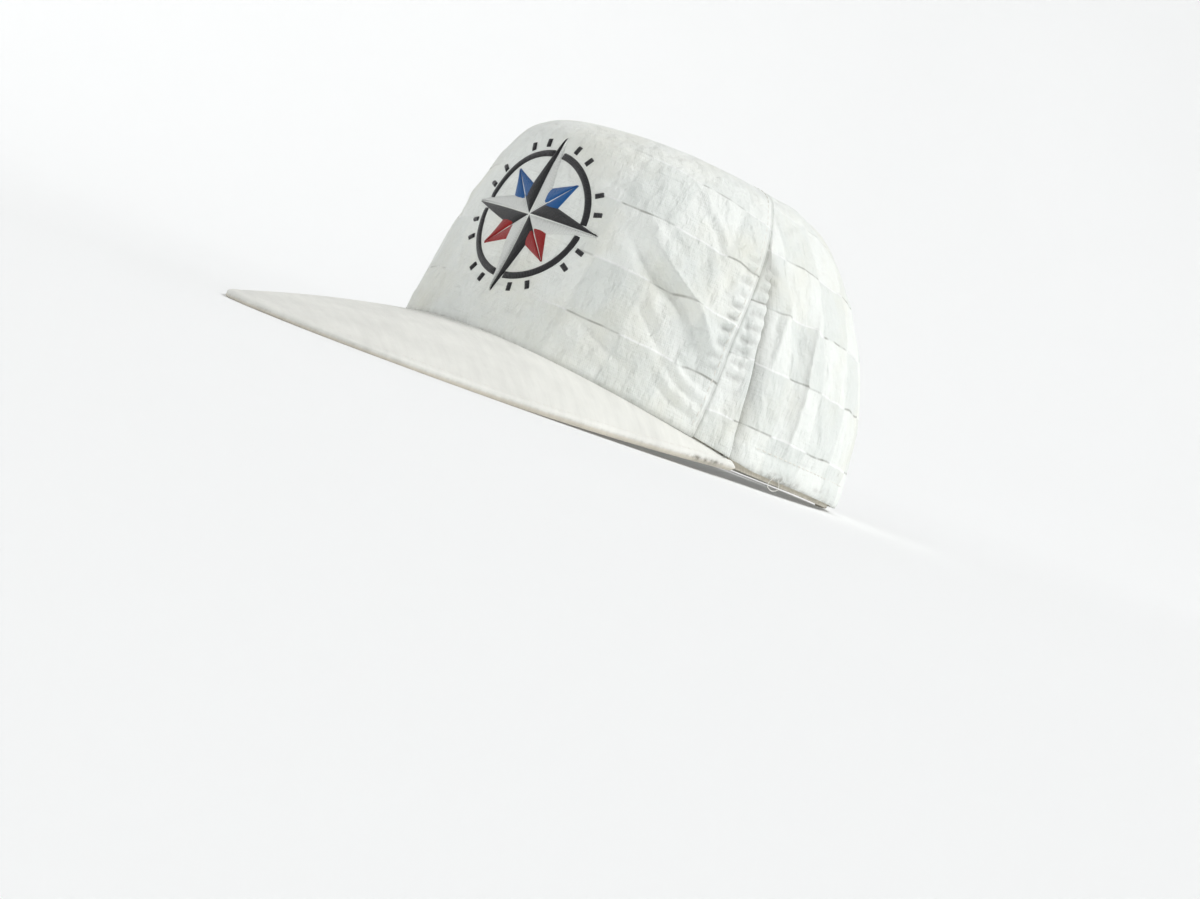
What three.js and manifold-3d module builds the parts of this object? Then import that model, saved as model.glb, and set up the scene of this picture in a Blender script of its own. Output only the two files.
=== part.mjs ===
// A snapback cap: a tall crown of three cloth panels, a stiff cloth-covered brim, a sweatband, and a
// plastic snap strap in two halves across an arched opening at the back.
// Millimetres. The crown is laid out above its rim plane, with the wearer facing -Y and the
// wearer's left at +X. The finished cap is then tipped until it rests on brim and rear rim.

import * as THREE from 'three';
import { mergeVertices } from 'three/addons/utils/BufferGeometryUtils.js';
import Module from 'manifold-3d';

const wasm = await Module();
wasm.setup();

// Driving dimensions
const CLOTH = 1.6; // wall of a crown panel, cloth and backing together
const SEAT = 0.3; // clearance between pieces that are sewn or snapped together
const FACET = 0.15; // more of it where two round walls of flat facets lie in each other
const ROWS = 18; // steps from rim to the top of a panel
const SAME_PLACE = 1e-4; // points closer than this are one point

// The crown's outline at each height: how far it reaches forward, back and to the side, where
// along the head it is widest, how square it is (2 is an ellipse), and the angle from the front
// at which the side seam crosses it.
const CROWN = [
  { z: 0, front: -97, back: 98, side: 80, widest: 2, square: 2.15, seam: 61.5 },
  { z: 20, front: -91, back: 91, side: 80.5, widest: 0, square: 2.2, seam: 61 },
  { z: 40, front: -87.5, back: 84.5, side: 78.5, widest: -2, square: 2.2, seam: 61.5 },
  { z: 59, front: -85.5, back: 74, side: 71.5, widest: -5, square: 2.25, seam: 66 },
  { z: 77, front: -83.5, back: 61.5, side: 62, widest: -8, square: 2.3, seam: 72 },
  { z: 89, front: -79.5, back: 49, side: 52.5, widest: -10, square: 2.3, seam: 77 },
  { z: 96, front: -66, back: 35.5, side: 43, widest: -12, square: 2.3, seam: 81 },
  { z: 99, front: -42, back: 14, side: 24, widest: -12, square: 2.2, seam: 86 },
  { z: 100.5, front: -12, back: -12, side: 0, widest: -12, square: 2, seam: 90 },
];

// The brim: its seam on the crown rises in the middle, and its outer edge is a squarish half oval.
const BRIM = {
  end: 73.5, // angle from the front at which the brim ends
  thick: 3,
  edgeThick: 1.2, // at the rounded outer edge
  seamEnd: 80, // angle at which the seam line has come down to the hem
  seamLow: 1.2, // height of the seam there
  seamRise: 10.8, // how much higher it is at the middle of the front
  seamCurve: 1.1,
  halfWidth: 79.9,
  back: -26, // where along the head the outer edge is widest
  reach: 154, // from there to the tip
  square: 2.28,
  endRise: 1.7, // height of the edge at the brim's ends
  arch: 3, // how much its middle stands above its two sides
  droop: 13.5, // how far it falls from there to the tip
  camber: 1.6, // how far the top bulges between seam and edge
  columns: 44,
  steps: [0, 0.25, 0.5, 0.75, 0.94, 1], // from seam to edge
};

// The sweatband hangs `below` the line of the brim's seam, but never under the rim
const BAND = { thick: 1.2, tall: 25, below: 7, inset: CLOTH + SEAT + FACET, columns: 52, rows: 5 };

// The arched opening at the back, cut by a prism that runs along the head, and the strap across it
const ARCH = { halfWidth: 45, spring: 12, top: 52, cutLow: -10, cutFrom: 40, cutTo: 130, steps: 9 };
const STRAP = {
  thick: 1.2,
  low: 1.5,
  tall: 19,
  rootAngle: 131, // hidden end, sewn between panel and sweatband
  tipAngle: 196.5, // free end, just past its last snap
  bandAngle: 146, // the sweatband stops just inside the opening
  roomFrom: 117, // between these angles the band moves in, to make room for the strap
  roomTo: 127,
  easeFrom: 3, // past the tip, the inner half comes out to the panel between these angles
  easeTo: 14,
  pitchAngle: 6.6, // between two snaps
  holeRadius: 2.4,
  pegRadius: 2.05,
  pegTall: 2.6,
  drillOut: 4, // a hole's drill reaches this far outside the crown's face
  drillIn: 9, // and this far inside it
  columns: 24,
  snapSides: 12,
};
const SNAPS = [-4, -3, -2, -1, 0, 1, 2]; // the holes' places, counted from the middle of the back

// Long folds in the side cloth: a tuck beside the side seam and a softer crease behind it. The cloth
// rises over `wide` degrees up to the fold line, and falls back over `drop` degrees behind it.
const TUCK = {
  wide: 8,
  drop: 2.5,
  line: [
    { z: 0, angle: 72, proud: 1.2 },
    { z: 20, angle: 69, proud: 1.5 },
    { z: 40, angle: 67.8, proud: 1.6 },
    { z: 58, angle: 70, proud: 1.2 },
    { z: 76, angle: 73, proud: 0.2 },
  ],
};
const CREASE = {
  wide: 12,
  drop: 3,
  line: [
    { z: 8, angle: 88.5, proud: 0.1 },
    { z: 20, angle: 87.5, proud: 0.9 },
    { z: 40, angle: 87, proud: 1.1 },
    { z: 58, angle: 87.5, proud: 0.8 },
    { z: 72, angle: 89, proud: 0.1 },
  ],
};
// The large slack fold that runs down the left of the front panel towards the seam: a hollow with
// a ridge along its upper side, each `wide` degrees to either side of its middle.
const SLACK = {
  wide: 6,
  line: [
    { z: 29, angle: 56, hollow: 0.1, ridge: 0.3 },
    { z: 34, angle: 53, hollow: 1.2, ridge: 1.2 },
    { z: 43, angle: 46, hollow: 2.2, ridge: 1.6 },
    { z: 51, angle: 38, hollow: 1.6, ridge: 1.2 },
    { z: 62, angle: 33, hollow: 0.2, ridge: 0.2 },
  ],
};

const PAINT = {
  cloth: { color: 0xe9eae8, roughness: 0.9, metalness: 0 },
  brimCloth: { color: 0xe6e2d8, roughness: 0.9, metalness: 0 },
  bandCloth: { color: 0xdcd6c8, roughness: 0.92, metalness: 0 },
  plastic: { color: 0xeceae4, roughness: 0.45, metalness: 0 },
};

const radians = THREE.MathUtils.degToRad;
const range = (count) => Array.from({ length: count + 1 }, (_, i) => i / count);

// A smooth curve through one column of a table; t runs from 0 at the first row to 1 at the last.
function column(table, name, t) {
  const last = table.length - 1;
  const i = Math.min(Math.floor(t * last), last - 1);
  const f = t * last - i;
  const [a, b, c, d] = [-1, 0, 1, 2].map((k) => table[THREE.MathUtils.clamp(i + k, 0, last)][name]);
  const cubic = (3 * b - a - 3 * c + d) * f ** 3 + (2 * a - 5 * b + 4 * c - d) * f ** 2;
  return 0.5 * (2 * b + (c - a) * f + cubic);
}

// Straight lines through one column of a table that goes up in z, looked up by height
function atHeight(rows, name, z) {
  const i = Math.max(1, rows.findIndex((row) => row.z >= z));
  const [a, b] = [rows[i - 1], rows[i]];
  const f = THREE.MathUtils.clamp((z - a.z) / (b.z - a.z), 0, 1);
  return a[name] + (b[name] - a[name]) * f;
}

// The t at which the crown reaches a height, by halving
function heightToT(z) {
  const halvings = 30;
  let [low, high] = [0, 1];
  for (let step = 0; step < halvings; step += 1) {
    const middle = (low + high) / 2;
    if (column(CROWN, 'z', middle) < z) low = middle;
    else high = middle;
  }
  return low;
}

// A point of the smooth crown: angle in degrees from the front towards the wearer's left
function crownPoint(angle, t) {
  const [front, back, side, widest, square, z] = ['front', 'back', 'side', 'widest', 'square', 'z']
    .map((name) => column(CROWN, name, t));
  const [c, s] = [Math.cos(radians(angle)), Math.sin(radians(angle))];
  const round = (Math.abs(c) ** square + Math.abs(s) ** square) ** (-1 / square);
  const reach = c > 0 ? front - widest : widest - back;
  return new THREE.Vector3(side * s * round, widest + reach * c * round, z);
}

// The smooth crown's outward normal, from points a little to each side; at the very top it is up
function crownNormal(angle, t) {
  const [turn, rise, top] = [0.5, 0.004, 0.995];
  if (t > top) return new THREE.Vector3(0, 0, 1);
  const along = crownPoint(angle + turn, t).sub(crownPoint(angle - turn, t));
  const up = crownPoint(angle, Math.min(t + rise, 1)).sub(crownPoint(angle, Math.max(t - rise, 0)));
  return along.cross(up).normalize();
}

const bump = (x) => (Math.abs(x) < 1 ? (1 - x * x) ** 2 : 0);

const within = (line, z) => z > line[0].z && z < line.at(-1).z;

// How far a long fold lifts the cloth: a slow rise up to its line, then a quick drop
function foldLift({ wide, drop, line }, angle, z) {
  if (!within(line, z)) return 0;
  const x = angle - atHeight(line, 'angle', z);
  const shape = x < 0 ? THREE.MathUtils.smoothstep(x, -wide, 0) : 1 - THREE.MathUtils.smoothstep(x, 0, drop);
  return shape * atHeight(line, 'proud', z);
}

// How far the cloth stands off the smooth crown at a place on either side of the head
function relief(angle, z, left) {
  const turn = Math.abs(angle);
  const lift = foldLift(TUCK, turn, z) + foldLift(CREASE, turn, z);
  if (!left || !within(SLACK.line, z)) return lift;
  const x = (turn - atHeight(SLACK.line, 'angle', z)) / SLACK.wide;
  return lift + bump(x - 1) * atHeight(SLACK.line, 'ridge', z) - bump(x) * atHeight(SLACK.line, 'hollow', z);
}

// Height of the brim's top along its seam; past the brim's ends this is the crown's own hem
function seamHeight(angle) {
  const x = Math.min(Math.abs(angle) / BRIM.seamEnd, 1);
  return BRIM.seamLow + BRIM.seamRise * Math.cos((x * Math.PI) / 2) ** BRIM.seamCurve;
}

// A closed solid between two grids of points: `outside` faces out, `inside` lies under it. Places
// where rows or columns meet in one point make no face.
function slab(outside, inside) {
  const places = [];
  const triangle = (a, b, c) => {
    if ([a.distanceTo(b), b.distanceTo(c), c.distanceTo(a)].some((far) => far < SAME_PLACE)) return;
    [a, b, c].forEach((p) => places.push(p.x, p.y, p.z));
  };
  const quad = (a, b, c, d) => {
    triangle(a, b, c);
    triangle(a, c, d);
  };
  const [rows, columns] = [outside.length - 1, outside[0].length - 1];
  for (let i = 0; i < rows; i += 1) {
    for (let j = 0; j < columns; j += 1) {
      quad(outside[i][j], outside[i][j + 1], outside[i + 1][j + 1], outside[i + 1][j]);
      quad(inside[i][j], inside[i + 1][j], inside[i + 1][j + 1], inside[i][j + 1]);
    }
    quad(outside[i][0], outside[i + 1][0], inside[i + 1][0], inside[i][0]);
    quad(outside[i][columns], inside[i][columns], inside[i + 1][columns], outside[i + 1][columns]);
  }
  for (let j = 0; j < columns; j += 1) {
    quad(outside[0][j], inside[0][j], inside[0][j + 1], outside[0][j + 1]);
    quad(outside[rows][j], outside[rows][j + 1], inside[rows][j + 1], inside[rows][j]);
  }
  const geometry = new THREE.BufferGeometry();
  geometry.setAttribute('position', new THREE.Float32BufferAttribute(places, 3));
  return mergeVertices(geometry, SAME_PLACE);
}

function toSolid(source) {
  const geometry = source.clone();
  geometry.deleteAttribute('normal');
  geometry.deleteAttribute('uv');
  const merged = mergeVertices(geometry, SAME_PLACE);
  return new wasm.Manifold(new wasm.Mesh({
    numProp: 3,
    vertProperties: new Float32Array(merged.attributes.position.array),
    triVerts: new Uint32Array(merged.index.array),
  }));
}

function toGeometry(solid) {
  const mesh = solid.getMesh();
  const geometry = new THREE.BufferGeometry();
  geometry.setAttribute('position', new THREE.BufferAttribute(mesh.vertProperties, 3));
  geometry.setIndex(new THREE.BufferAttribute(mesh.triVerts, 1));
  return geometry;
}

// One panel of the crown between two edges, each an angle that may change with height. Each edge
// stands half a seam's clearance back from its line, measured on a round as wide as the crown is
// there, and `tip` is where the panel ends on top.
function panel(edgeA, edgeB, places, tip, left) {
  const narrowest = 4;
  const angles = (t) => {
    const reach = Math.max(crownPoint(90, t).x, narrowest);
    const inset = THREE.MathUtils.radToDeg(SEAT / 2 / reach);
    return [edgeA(t) + inset, edgeB(t) - inset];
  };
  const top = crownPoint(0, 1).add(tip);
  const grid = (depth) => range(ROWS).map((u) => places.map((place) => {
    if (u === 1) return top.clone().setZ(top.z - depth);
    const hem = seamHeight(THREE.MathUtils.lerp(edgeA(0), edgeB(0), place)) + SEAT;
    const t = THREE.MathUtils.lerp(heightToT(hem), 1, u);
    const angle = THREE.MathUtils.lerp(...angles(t), place);
    const lift = relief(angle, column(CROWN, 'z', t), left) - depth;
    const point = crownPoint(angle, t).addScaledVector(crownNormal(angle, t), lift);
    return u === 0 ? point.setZ(hem) : point;
  }));
  return slab(grid(0), grid(CLOTH));
}

// Columns across a panel, closer together where the folds are
function spread(...stretches) {
  const places = [0];
  stretches.forEach(({ upTo, steps }) => {
    const from = places.at(-1);
    for (let i = 1; i <= steps; i += 1) places.push(from + ((upTo - from) * i) / steps);
  });
  return places;
}

const seamAngle = (t) => column(CROWN, 'seam', t);

function frontPanel() {
  const places = spread({ upTo: 0.66, steps: 12 }, { upTo: 1, steps: 16 });
  const tip = new THREE.Vector3(0, -SEAT / 2, 0);
  return panel((t) => -seamAngle(t), seamAngle, places, tip, true);
}

// The opening at the back as a prism along Y that passes through the wall
function archPrism() {
  const { halfWidth, spring, top, cutLow, cutFrom, cutTo, steps } = ARCH;
  const outline = new THREE.Shape();
  outline.moveTo(halfWidth, cutLow);
  outline.lineTo(halfWidth, spring);
  outline.absellipse(0, spring, halfWidth, top - spring, 0, Math.PI, false, 0);
  outline.lineTo(-halfWidth, cutLow);
  const settings = { depth: cutTo - cutFrom, bevelEnabled: false, curveSegments: steps };
  return new THREE.ExtrudeGeometry(outline, settings).rotateX(Math.PI / 2).translate(0, cutTo, 0);
}

function sidePanel() {
  const places = spread({ upTo: 0.13, steps: 8 }, { upTo: 0.25, steps: 5 }, { upTo: 1, steps: 11 });
  const tip = new THREE.Vector3(SEAT / 2, SEAT / 2, 0);
  const whole = panel(seamAngle, () => 180, places, tip, false);
  return toGeometry(toSolid(whole).subtract(toSolid(archPrism())));
}

function mirrored(source) {
  const geometry = source.clone().scale(-1, 1, 1);
  const index = geometry.index.array;
  for (let i = 0; i < index.length; i += 3) [index[i], index[i + 1]] = [index[i + 1], index[i]];
  return geometry;
}

// A point of the brim's middle surface: `across` runs from -1 to 1 along the seam, `out` from 0 at
// the seam to 1 at the outer edge.
function brimPoint(across, out) {
  const angle = across * BRIM.end;
  const seat = crownPoint(angle, heightToT(seamHeight(angle)));
  const inward = crownNormal(angle, 0).setZ(0).normalize().multiplyScalar(-CLOTH);
  const inner = seat.add(inward).setZ(seamHeight(angle) - BRIM.thick / 2);
  const [c, s] = [Math.cos((across * Math.PI) / 2), Math.sin((across * Math.PI) / 2)];
  const round = (c ** BRIM.square + Math.abs(s) ** BRIM.square) ** (-1 / BRIM.square);
  const rise = BRIM.endRise + BRIM.arch * (1 - (s * round) ** 2) - BRIM.droop * c * round;
  const edge = new THREE.Vector3(
    BRIM.halfWidth * s * round,
    BRIM.back - BRIM.reach * c * round,
    rise - BRIM.thick / 2,
  );
  const point = inner.clone().lerp(edge, out);
  point.z += BRIM.camber * Math.sin(Math.PI * out) * c;
  return point;
}

function brim() {
  const across = range(BRIM.columns).map((u) => 2 * u - 1);
  const half = (out) => (out < 1 ? BRIM.thick : BRIM.edgeThick) / 2;
  const grid = (side) => BRIM.steps.map((out) => across.map((u) => {
    const point = brimPoint(u, out);
    point.z += side * half(out);
    return point;
  }));
  return slab(grid(1).reverse(), grid(-1).reverse());
}

// A strip that follows the inside of the crown's wall at a depth below its outer face. Below the
// crown's hem it hangs straight down.
function strip(fromAngle, toAngle, columns, rows, low, tall, depth, thick) {
  const grid = (extra) => range(rows).map((u) => range(columns).map((v) => {
    const angle = THREE.MathUtils.lerp(fromAngle, toAngle, v);
    const z = low(angle) + tall * u;
    const t = heightToT(Math.max(z, seamHeight(angle)));
    const point = crownPoint(angle, t).addScaledVector(crownNormal(angle, t), -depth(angle) - extra);
    return point.setZ(z);
  }));
  return slab(grid(0), grid(thick));
}

function sweatband() {
  const low = (angle) => Math.max(seamHeight(angle) - BAND.below, 0);
  const room = STRAP.thick + SEAT;
  const depth = (angle) => BAND.inset
    + room * THREE.MathUtils.smoothstep(Math.abs(angle), STRAP.roomFrom, STRAP.roomTo);
  return strip(-STRAP.bandAngle, STRAP.bandAngle, BAND.columns, BAND.rows, low, BAND.tall, depth, BAND.thick);
}

// A cylinder at one snap's place, square to the crown's wall, between two depths below its face
function snapCylinder(place, radius, fromDepth, toDepth) {
  const angle = 180 + place * STRAP.pitchAngle;
  const t = heightToT(STRAP.low + STRAP.tall / 2);
  const [point, normal] = [crownPoint(angle, t), crownNormal(angle, t)];
  const cylinder = new THREE.CylinderGeometry(radius, radius, toDepth - fromDepth, STRAP.snapSides);
  const turn = new THREE.Quaternion().setFromUnitVectors(new THREE.Vector3(0, 1, 0), normal);
  const middle = point.addScaledVector(normal, -(fromDepth + toDepth) / 2);
  return cylinder.applyQuaternion(turn).translate(middle.x, middle.y, middle.z);
}

function strapBody(fromAngle, toAngle, depth) {
  const low = () => STRAP.low;
  return toSolid(strip(fromAngle, toAngle, STRAP.columns, 1, low, STRAP.tall, depth, STRAP.thick));
}

// The wearer's left half, with holes, lies outermost
function strapWithHoles() {
  const depth = () => BAND.inset;
  let strap = strapBody(STRAP.rootAngle, STRAP.tipAngle, depth);
  SNAPS.forEach((place) => {
    const drill = snapCylinder(place, STRAP.holeRadius, -STRAP.drillOut, STRAP.drillIn);
    strap = strap.subtract(toSolid(drill));
  });
  return toGeometry(strap);
}

// The right half, with pegs, lies under it, and comes out to the panel at its sewn end
function strapWithPegs() {
  const under = BAND.inset + STRAP.thick + SEAT;
  const depth = (angle) => THREE.MathUtils.lerp(
    under,
    BAND.inset,
    THREE.MathUtils.smoothstep(angle, STRAP.tipAngle + STRAP.easeFrom, STRAP.tipAngle + STRAP.easeTo),
  );
  let strap = strapBody(360 - STRAP.tipAngle, 360 - STRAP.rootAngle, depth);
  SNAPS.forEach((place) => {
    const face = depth(180 - place * STRAP.pitchAngle);
    const peg = snapCylinder(-place, STRAP.pegRadius, face - STRAP.pegTall, face + STRAP.thick / 2);
    strap = strap.add(toSolid(peg));
  });
  return toGeometry(strap);
}

function mesh(name, geometry, paint) {
  const made = new THREE.Mesh(geometry, new THREE.MeshStandardMaterial(paint));
  made.name = name;
  return made;
}

const cap = new THREE.Group();
const side = sidePanel();
cap.add(
  mesh('front_panel', frontPanel(), PAINT.cloth),
  mesh('side_panel_left', side, PAINT.cloth),
  mesh('side_panel_right', mirrored(side), PAINT.cloth),
  mesh('brim', brim(), PAINT.brimCloth),
  mesh('sweatband', sweatband(), PAINT.bandCloth),
  mesh('strap_with_holes', strapWithHoles(), PAINT.plastic),
  mesh('strap_with_pegs', strapWithPegs(), PAINT.plastic),
);

function allPoints(group) {
  const points = [];
  group.updateMatrixWorld(true);
  group.traverse((node) => {
    if (!node.isMesh) return;
    const place = node.geometry.attributes.position;
    for (let i = 0; i < place.count; i += 1) {
      points.push(new THREE.Vector3().fromBufferAttribute(place, i).applyMatrix4(node.matrixWorld));
    }
  });
  return points;
}

// The tilt at which the cap rests: its lowest point ahead of the crown and its lowest point behind
// the crown's middle come level. Each pass finds those two points at the last pass's tilt.
function restTilt(points) {
  const passes = 6;
  const halves = [points.filter((p) => p.y < CROWN[0].front), points.filter((p) => p.y > 0)];
  let tilt = 0;
  for (let pass = 0; pass < passes; pass += 1) {
    const height = (p) => p.z * Math.cos(tilt) - p.y * Math.sin(tilt);
    const [front, rear] = halves.map((half) => half.reduce((a, b) => (height(b) < height(a) ? b : a)));
    tilt = Math.atan2(rear.z - front.z, rear.y - front.y);
  }
  return tilt;
}

cap.rotation.x = -restTilt(allPoints(cap));
const box = new THREE.Box3().setFromPoints(allPoints(cap));
cap.position.set(0, -(box.min.y + box.max.y) / 2, -box.min.z);

const part = new THREE.Group();
part.add(cap);

export default part;
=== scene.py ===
"""The looks of a white snapback cap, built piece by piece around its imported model.

The crown is laid out in millimetres above its rim plane, with the wearer facing -Y and the wearer's
left at +X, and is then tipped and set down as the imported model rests.
"""

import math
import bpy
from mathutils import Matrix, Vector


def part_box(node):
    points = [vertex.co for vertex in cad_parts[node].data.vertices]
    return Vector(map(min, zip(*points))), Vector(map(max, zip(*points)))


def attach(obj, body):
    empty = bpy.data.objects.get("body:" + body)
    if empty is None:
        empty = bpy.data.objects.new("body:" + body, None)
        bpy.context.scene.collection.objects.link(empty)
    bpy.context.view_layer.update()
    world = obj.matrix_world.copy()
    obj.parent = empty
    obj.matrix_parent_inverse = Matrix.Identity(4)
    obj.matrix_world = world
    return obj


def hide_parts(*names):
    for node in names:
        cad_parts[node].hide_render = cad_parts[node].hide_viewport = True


bl_info = {
    "name": "Snapback Cap",
    "version": (1, 0, 0),
    "blender": (4, 5, 0),
    "location": "View3D > Sidebar > Cap",
    "description": "Builds the cloth, stitching, strap and emblem of a snapback cap",
    "category": "Add Mesh",
}

import bpy
import numpy as np
from bpy.props import FloatProperty, FloatVectorProperty, PointerProperty
from mathutils import Matrix, Vector

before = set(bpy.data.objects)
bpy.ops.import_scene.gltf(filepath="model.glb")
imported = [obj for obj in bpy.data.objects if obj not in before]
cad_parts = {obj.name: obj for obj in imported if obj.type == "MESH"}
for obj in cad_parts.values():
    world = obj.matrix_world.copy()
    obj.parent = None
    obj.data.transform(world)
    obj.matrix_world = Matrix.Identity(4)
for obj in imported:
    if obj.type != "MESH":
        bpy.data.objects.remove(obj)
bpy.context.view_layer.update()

MM = 0.001
IMAGE_WIDE, IMAGE_HIGH = 1200, 899
SENSOR_WIDE = 36.0
KEY_AZIMUTH, KEY_ELEVATION = 84.0, 53.0  # the key light, round from the camera and above the floor

# The crown's outline at each height above the rim: how far it reaches forward, back and to the side,
# where along the head it is widest, how square it is (2 is an ellipse), and the angle from the front
# at which the side seam crosses it. Millimetres and degrees.
CROWN_COLUMNS = ("z", "front", "back", "side", "widest", "square", "seam")
CROWN = np.array([
    (0, -97, 98, 80, 2, 2.15, 61.5),
    (20, -91, 91, 80.5, 0, 2.2, 61),
    (40, -87.5, 84.5, 78.5, -2, 2.2, 61.5),
    (59, -85.5, 74, 71.5, -5, 2.25, 66),
    (77, -83.5, 61.5, 62, -8, 2.3, 72),
    (89, -79.5, 49, 52.5, -10, 2.3, 77),
    (96, -66, 35.5, 43, -12, 2.3, 81),
    (99, -42, 14, 24, -12, 2.2, 86),
    (100.5, -12, -12, 0, -12, 2, 90),
])
SEAM_FOOT = 61.5  # angle from the front at which the side seam meets the hem
SEAT = 0.3  # clearance between pieces that are sewn together
LAP = 0.3  # how far one piece of cloth laps over the next at a seam

# The brim: its seam on the crown rises in the middle, and its outer edge is a squarish half oval
BRIM_END = 73.5  # angle from the front at which the brim ends
BRIM_THICK = 3.0
SEAM_END, SEAM_LOW, SEAM_RISE, SEAM_CURVE = 80.0, 1.2, 10.8, 1.1
EDGE_HALF_WIDTH, EDGE_BACK, EDGE_REACH, EDGE_SQUARE = 79.9, -26.0, 154.0, 2.28
EDGE_END_RISE, EDGE_ARCH, EDGE_DROOP, BRIM_CAMBER = 1.7, 3.0, 13.5, 1.6

# The arched opening at the back: half its width, where its sides start to curve, and its top
ARCH_HALF_WIDTH, ARCH_SPRING, ARCH_TOP = 45.0, 12.0, 52.0

# The woven check: the pitch of its squares, and where a boundary of squares lies on each panel's cloth
CHECK_ACROSS, CHECK_UP = 21.0, 21.2
FRONT_CHECK = (31.0, 51.0)
SIDE_CHECK = (-14.5, 15.5)
GRAIN_DROP, GRAIN_REACH = 5.0, 88.0  # how far the front's rows fall from its middle to the seam

# Folds charted on the cloth, across and up from each panel's own zero. A fold's height is above the
# smooth crown, or below it where negative. Its widths are to the left and right of its course.
FRONT_FOLDS = [
    (-2.5, 2.2, 3.2, [(41, 62.5), (50, 55.5), (59, 50.5), (66, 46), (72, 40.2), (77, 34.5), (80.5, 29)]),
    (2.7, 2.2, 2.0, [(46, 64), (54, 59), (62, 53), (70, 48), (76, 42.5), (81, 37), (85, 33.5), (89, 31.5)]),
    (0.9, 1.0, 1.2, [(40, 72), (47, 67), (53, 63), (60, 58)]),
    (-0.9, 1.2, 1.4, [(36, 64), (44, 58), (52, 52), (60, 45)]),
    (1.2, 1.4, 1.6, [(66, 48.5), (72, 45.5), (78, 39), (81, 35)]),
    (-1.3, 1.6, 1.4, [(56, 83), (61, 79.5), (66, 75.5), (70, 71), (73, 65)]),
    (0.9, 1.6, 1.6, [(58, 85), (64, 80), (69, 76), (74, 69)]),
    (-1.0, 2.0, 1.8, [(44, 63), (47, 60), (50, 55)]),
    (-1.1, 1.8, 2.2, [(65, 70), (67.5, 65), (69, 58)]),
    (-0.8, 1.3, 1.4, [(34, 29), (42, 25.5), (52, 21), (60, 17)]),
    (-0.8, 1.2, 1.4, [(50, 41), (57, 36), (64, 30), (70, 24)]),
    (0.7, 1.3, 1.3, [(54, 44), (61, 38.5), (67, 32)]),
    (-1.0, 1.1, 1.2, [(71, 30), (78, 25), (84, 22.2), (90, 20.5)]),
    (0.8, 1.1, 1.1, [(70, 27.5), (78, 22.5), (84, 19.8), (90, 18)]),
    (-1.0, 1.0, 1.1, [(69, 24), (77, 19.5), (84, 17), (91, 15)]),
    (0.7, 1.0, 1.0, [(69, 21), (77, 16.5), (85, 14), (92, 12)]),
    (-0.9, 0.9, 1.1, [(70, 17.5), (78, 13.5), (86, 11), (92, 9.5)]),
    (-0.7, 1.6, 1.6, [(22, 87), (31, 86), (40, 87)]),
    (-0.8, 1.6, 1.6, [(26, 79), (32, 75.5), (37, 75)]),
    (-0.6, 1.4, 1.4, [(20, 78), (28, 77), (34, 79)]),
    (-0.9, 1.6, 1.8, [(75, 66), (78, 60), (78, 53)]),
]
FRONT_RIGHT_FOLDS = [
    (-1.0, 2.4, 4.0, [(44, 66), (53, 57), (62, 50), (70, 44), (76, 36)]),
    (0.8, 2.6, 1.8, [(50, 66), (58, 60), (67, 54), (75, 47), (82, 41)]),
    (-0.5, 1.4, 1.4, [(60, 84), (66, 77), (71, 70)]),
    (-0.5, 1.0, 1.2, [(70, 28), (79, 23), (90, 19)]),
    (0.4, 1.0, 1.0, [(69, 25), (79, 20), (91, 16)]),
    (-0.5, 1.0, 1.2, [(70, 20), (80, 15.5), (92, 12)]),
]
SIDE_FOLDS = [
    (1.3, 2.4, 1.4, [(-13, 65), (-17, 57), (-20, 50), (-23, 43), (-25, 37)]),
    (-1.3, 2.2, 1.6, [(-19, 60), (-22, 53), (-25, 46)]),
    (-1.1, 2.6, 2.6, [(-12, 58), (-11, 51), (-10.5, 45)]),
    (-1.3, 1.8, 2.4, [(21, 54), (18, 48), (16, 40), (15, 33)]),
    (1.0, 1.8, 2.2, [(25, 55), (22, 48), (20, 40), (19, 33)]),
    (-0.9, 2.6, 2.6, [(26, 50), (25, 43), (27, 36)]),
    (-0.8, 1.6, 1.8, [(9, 33), (9.5, 27), (9, 20)]),
    (-0.8, 2.0, 2.0, [(19, 30), (22, 25), (21, 20)]),
    (0.8, 2.4, 2.4, [(6, 50), (9, 45), (9, 40)]),
    (-0.7, 1.6, 1.6, [(-27, 30), (-22, 26), (-20, 20)]),
    (-0.6, 1.4, 1.4, [(-25, 12), (-18, 10), (-10, 11)]),
    (-0.5, 2.2, 2.6, [(44, 66), (50, 52), (52, 38)]),
    (0.5, 2.6, 2.2, [(49, 66), (55, 52), (57, 38)]),
    (-0.5, 2.4, 2.4, [(70, 70), (66, 60), (60, 52)]),
]

# Two long folds in the side cloth, by height: the angle of their line, how far the cloth stands
# proud ahead of it and, for the tuck alone, how far it dips behind it
LONG_COLUMNS = ("z", "angle", "proud", "dip")
TUCK = np.array([
    (0, 72, 0.6, 0.9),
    (12, 70, 0.9, 1.8),
    (20, 69, 1.1, 2.4),
    (40, 67.8, 1.2, 2.6),
    (58, 70, 1.1, 2.0),
    (69, 72, 0.7, 0.9),
    (77, 73.2, 0.0, 0.0),
    (89, 78.2, 0.0, 0.0),
    (96, 82.4, 0.0, 0.0),
    (99, 87.5, 0.0, 0.0),
    (100.5, 92, 0.0, 0.0),
])
TUCK_RISE, TUCK_DROP, TUCK_RETURN = 6.5, 0.8, 9.0
TUCK_UNDER = 0.9  # how far the cloth behind the tuck runs in under it
CREASE = np.array([
    (8, 88, 0.0),
    (18, 86.6, 1.7),
    (38, 86.2, 2.4),
    (46, 87, 2.4),
    (54, 89.3, 2.0),
    (60, 92, 1.1),
    (66, 94, 0.0),
])
CREASE_RISE, CREASE_DROP = 9.0, 5.5

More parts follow.
